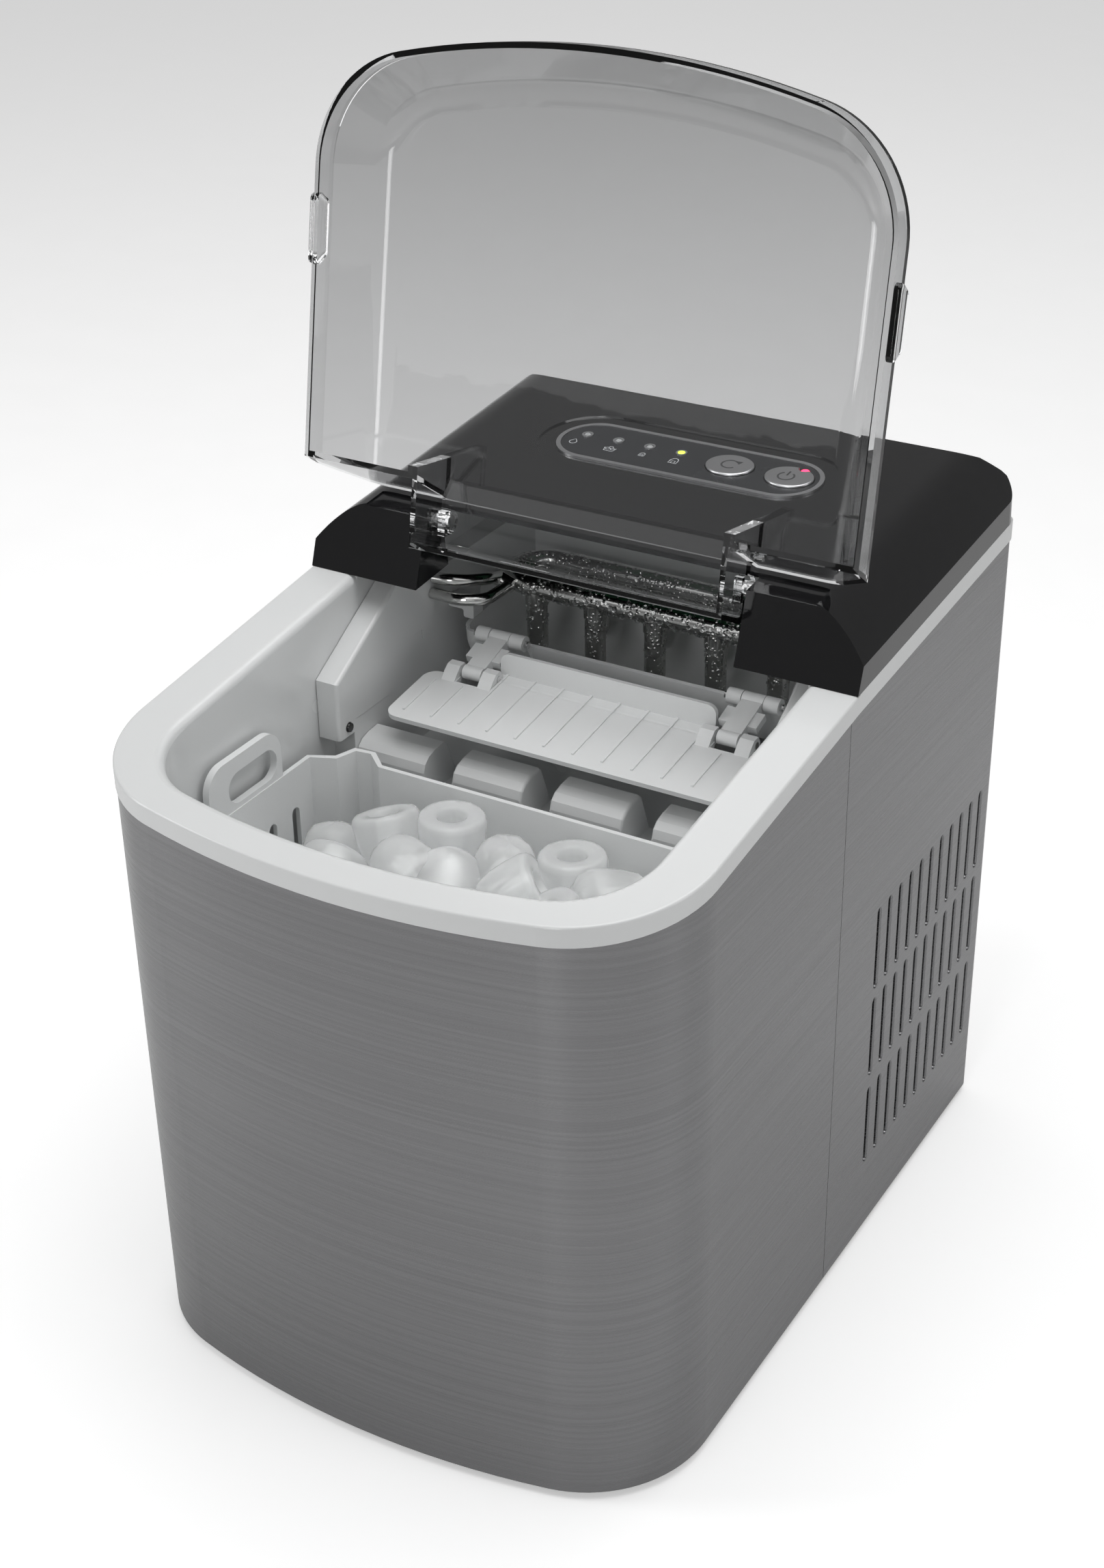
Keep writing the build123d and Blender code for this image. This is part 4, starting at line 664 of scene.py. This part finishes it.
def print_symbol(name, shapes, x, y, height, material, body):
    """Lay flat shapes on the panel; millimetres in, metres out."""
    verts = []
    faces = []
    for flat, polys in shapes:
        start = len(verts)
        verts += [PANEL_FRAME @ Vector(((x + v[0]) / 1000, (y + v[1]) / 1000, height / 1000)) for v in flat]
        faces += [tuple(i + start for i in face) for face in polys]
    piece = make_piece(name, verts, faces, material, body, smooth=False, slot="panel")
    ink = piece.modifiers.new("ink", "SOLIDIFY")
    ink.thickness = 0.00003
    ink.offset = 0
    return piece


drop = [(0, 2.6)] + arc_points(0, 0, 1.55, 30, -210, 24)
thimble = [(-1.0, -1.0), (-0.95, 0.5), (-0.55, 1.2), (0, 1.4), (0.55, 1.2), (0.95, 0.5), (1.0, -1.0)]


def thimble_symbol(k):
    return [ribbon([(k * a, k * b) for a, b in thimble], 0.36, closed=True),
            ribbon([(-0.45 * k, -1.0 * k), (-0.4 * k, 0.1 * k),
                    (0.4 * k, 0.1 * k), (0.45 * k, -1.0 * k)], 0.3)]


heap = [ribbon([(-2.6, 1.0), (-2.0, -1.8), (2.0, -1.8), (2.6, 1.0)], 0.36),
        ribbon(arc_points(-1.1, 0.2, 0.85, 0, 360), 0.3), ribbon(arc_points(1.1, 0.2, 0.85, 0, 360), 0.3),
        ribbon(arc_points(0, 1.5, 0.85, 0, 360), 0.3)]
TOP = 27.9 + 0.1
print_symbol("symbol_water", [ribbon(drop, 0.36, closed=True)],
             -50.5, 92.6, TOP + 0.02, print_white, "cabinet")
print_symbol("symbol_full", heap, -33.0, 92.4, TOP + 0.02, print_white, "cabinet")
print_symbol("symbol_small", thimble_symbol(1.2), -18.2, 93.0, TOP + 0.02, print_white, "cabinet")
print_symbol("symbol_large", thimble_symbol(1.8), -3.4, 92.8, TOP + 0.02, print_white, "cabinet")
turning = [ribbon(arc_points(0, 0, 3.4, 40, 320, 40), 0.8),
           ([(1.5, 3.4), (4.4, 3.6), (3.3, 0.9)], [(0, 1, 2)])]
print_symbol("symbol_select", turning, 19.7, 97.6, 27.9 - 2.2 + 3.4 + 0.02, print_dark, "select_button")
ring = [ribbon(arc_points(0, 0, 3.3, 125, 415, 40), 0.8), ribbon([(0, 0.6), (0, 4.4)], 0.8)]
print_symbol("symbol_power", ring, 45.0, 97.0, 27.9 - 2.2 + 3.4 + 0.02, print_dark, "power_button")
print("symbols ready")

# %% [markdown]
# ## Table, light and camera
# A pale flat table lies under the machine. A broad lamp overhead and three tall
# panels round the sides give soft light. The backdrop is white where it is
# looked at, straight on or through the clear lid, and dim in reflections, so
# that black plastic stays dark. The table glows a little for the camera alone,
# so that its far end stays pale.

# %% Table
TABLE_LIFT = 0.4    # keeps the far end of the table pale without lighting the machine


def add_table():
    size = 6.0
    verts = [(-size, -size, 0), (size, -size, 0), (size, size, 0), (-size, size, 0)]
    mesh = bpy.data.meshes.new("table")
    mesh.from_pydata(verts, [], [(0, 1, 2, 3)])
    table = bpy.data.objects.new("table", mesh)
    bpy.context.scene.collection.objects.link(table)
    material, tree, shader = start_material("table_pale", (0.86, 0.86, 0.86), rough=0.6)
    grain = use_effect(tree, "mould_grain", Scale=40.0, Low=0.55, High=0.7)
    join(tree, grain, "Roughness", shader, "Roughness")
    paths = tree.nodes.new("ShaderNodeLightPath")
    lift = tree.nodes.new("ShaderNodeMath")
    lift.operation = "MULTIPLY"
    lift.inputs[1].default_value = TABLE_LIFT
    shader.inputs["Emission Color"].default_value = (1, 1, 1, 1)
    tree.links.new(paths.outputs["Is Camera Ray"], lift.inputs[0])
    tree.links.new(lift.outputs[0], shader.inputs["Emission Strength"])
    mesh.materials.append(material)
    return table


add_table()

# %% Lights
AMBIENT = 0.22    # light from all round, kept low so that black plastic stays black
SEEN = 1.0        # brightness of the backdrop itself


def add_panel_light(name, place, target, width, height, power, color=(1, 1, 1)):
    data = bpy.data.lights.new(name, "AREA")
    data.shape = "RECTANGLE"
    data.size = width
    data.size_y = height
    data.energy = power
    data.color = color
    lamp_object = bpy.data.objects.new(name, data)
    bpy.context.scene.collection.objects.link(lamp_object)
    lamp_object.location = place
    aim = Vector(target) - Vector(place)
    lamp_object.rotation_euler = aim.to_track_quat("-Z", "Y").to_euler()
    return lamp_object


add_panel_light("overhead", (0.2, 0.1, 1.7), (0, 0, 0.25), 1.6, 1.4, 17)
add_panel_light("left_panel", (-1.6, -0.9, 0.9), (0, 0, 0.2), 0.5, 1.6, 11)
add_panel_light("front_panel", (0.35, -2.0, 0.75), (0, 0, 0.15), 0.4, 1.3, 6)
add_panel_light("right_panel", (1.9, 0.2, 0.8), (0, 0, 0.2), 0.5, 1.4, 4)

world = bpy.data.worlds.new("studio")
bpy.context.scene.world = world
world.use_nodes = True
backdrop = world.node_tree.nodes["Background"]
backdrop.inputs[0].default_value = (1, 1, 1, 1)
paths = world.node_tree.nodes.new("ShaderNodeLightPath")
straight = world.node_tree.nodes.new("ShaderNodeMath")
straight.operation = "MAXIMUM"
strength = world.node_tree.nodes.new("ShaderNodeMapRange")
strength.inputs["To Min"].default_value = AMBIENT
strength.inputs["To Max"].default_value = SEEN
world.node_tree.links.new(paths.outputs["Is Camera Ray"], straight.inputs[0])
world.node_tree.links.new(paths.outputs["Is Transmission Ray"], straight.inputs[1])
world.node_tree.links.new(straight.outputs[0], strength.inputs["Value"])
world.node_tree.links.new(strength.outputs[0], backdrop.inputs[1])

# %% Camera
camera_data = bpy.data.cameras.new("camera")
camera_data.sensor_fit = "AUTO"
camera_data.sensor_width = 36.0
camera_data.lens = 55.12
camera_data.shift_x = 0.0031
camera_data.shift_y = -0.0015
camera = bpy.data.objects.new("camera", camera_data)
bpy.context.scene.collection.objects.link(camera)
camera.location = (0.4222, -0.7126, 0.6779)
camera.rotation_euler = [math.radians(a) for a in (60.5375, 0.9552, 30.5525)]
bpy.context.scene.camera = camera
bpy.context.scene.view_settings.view_transform = "Standard"
print("camera", tuple(camera.location))
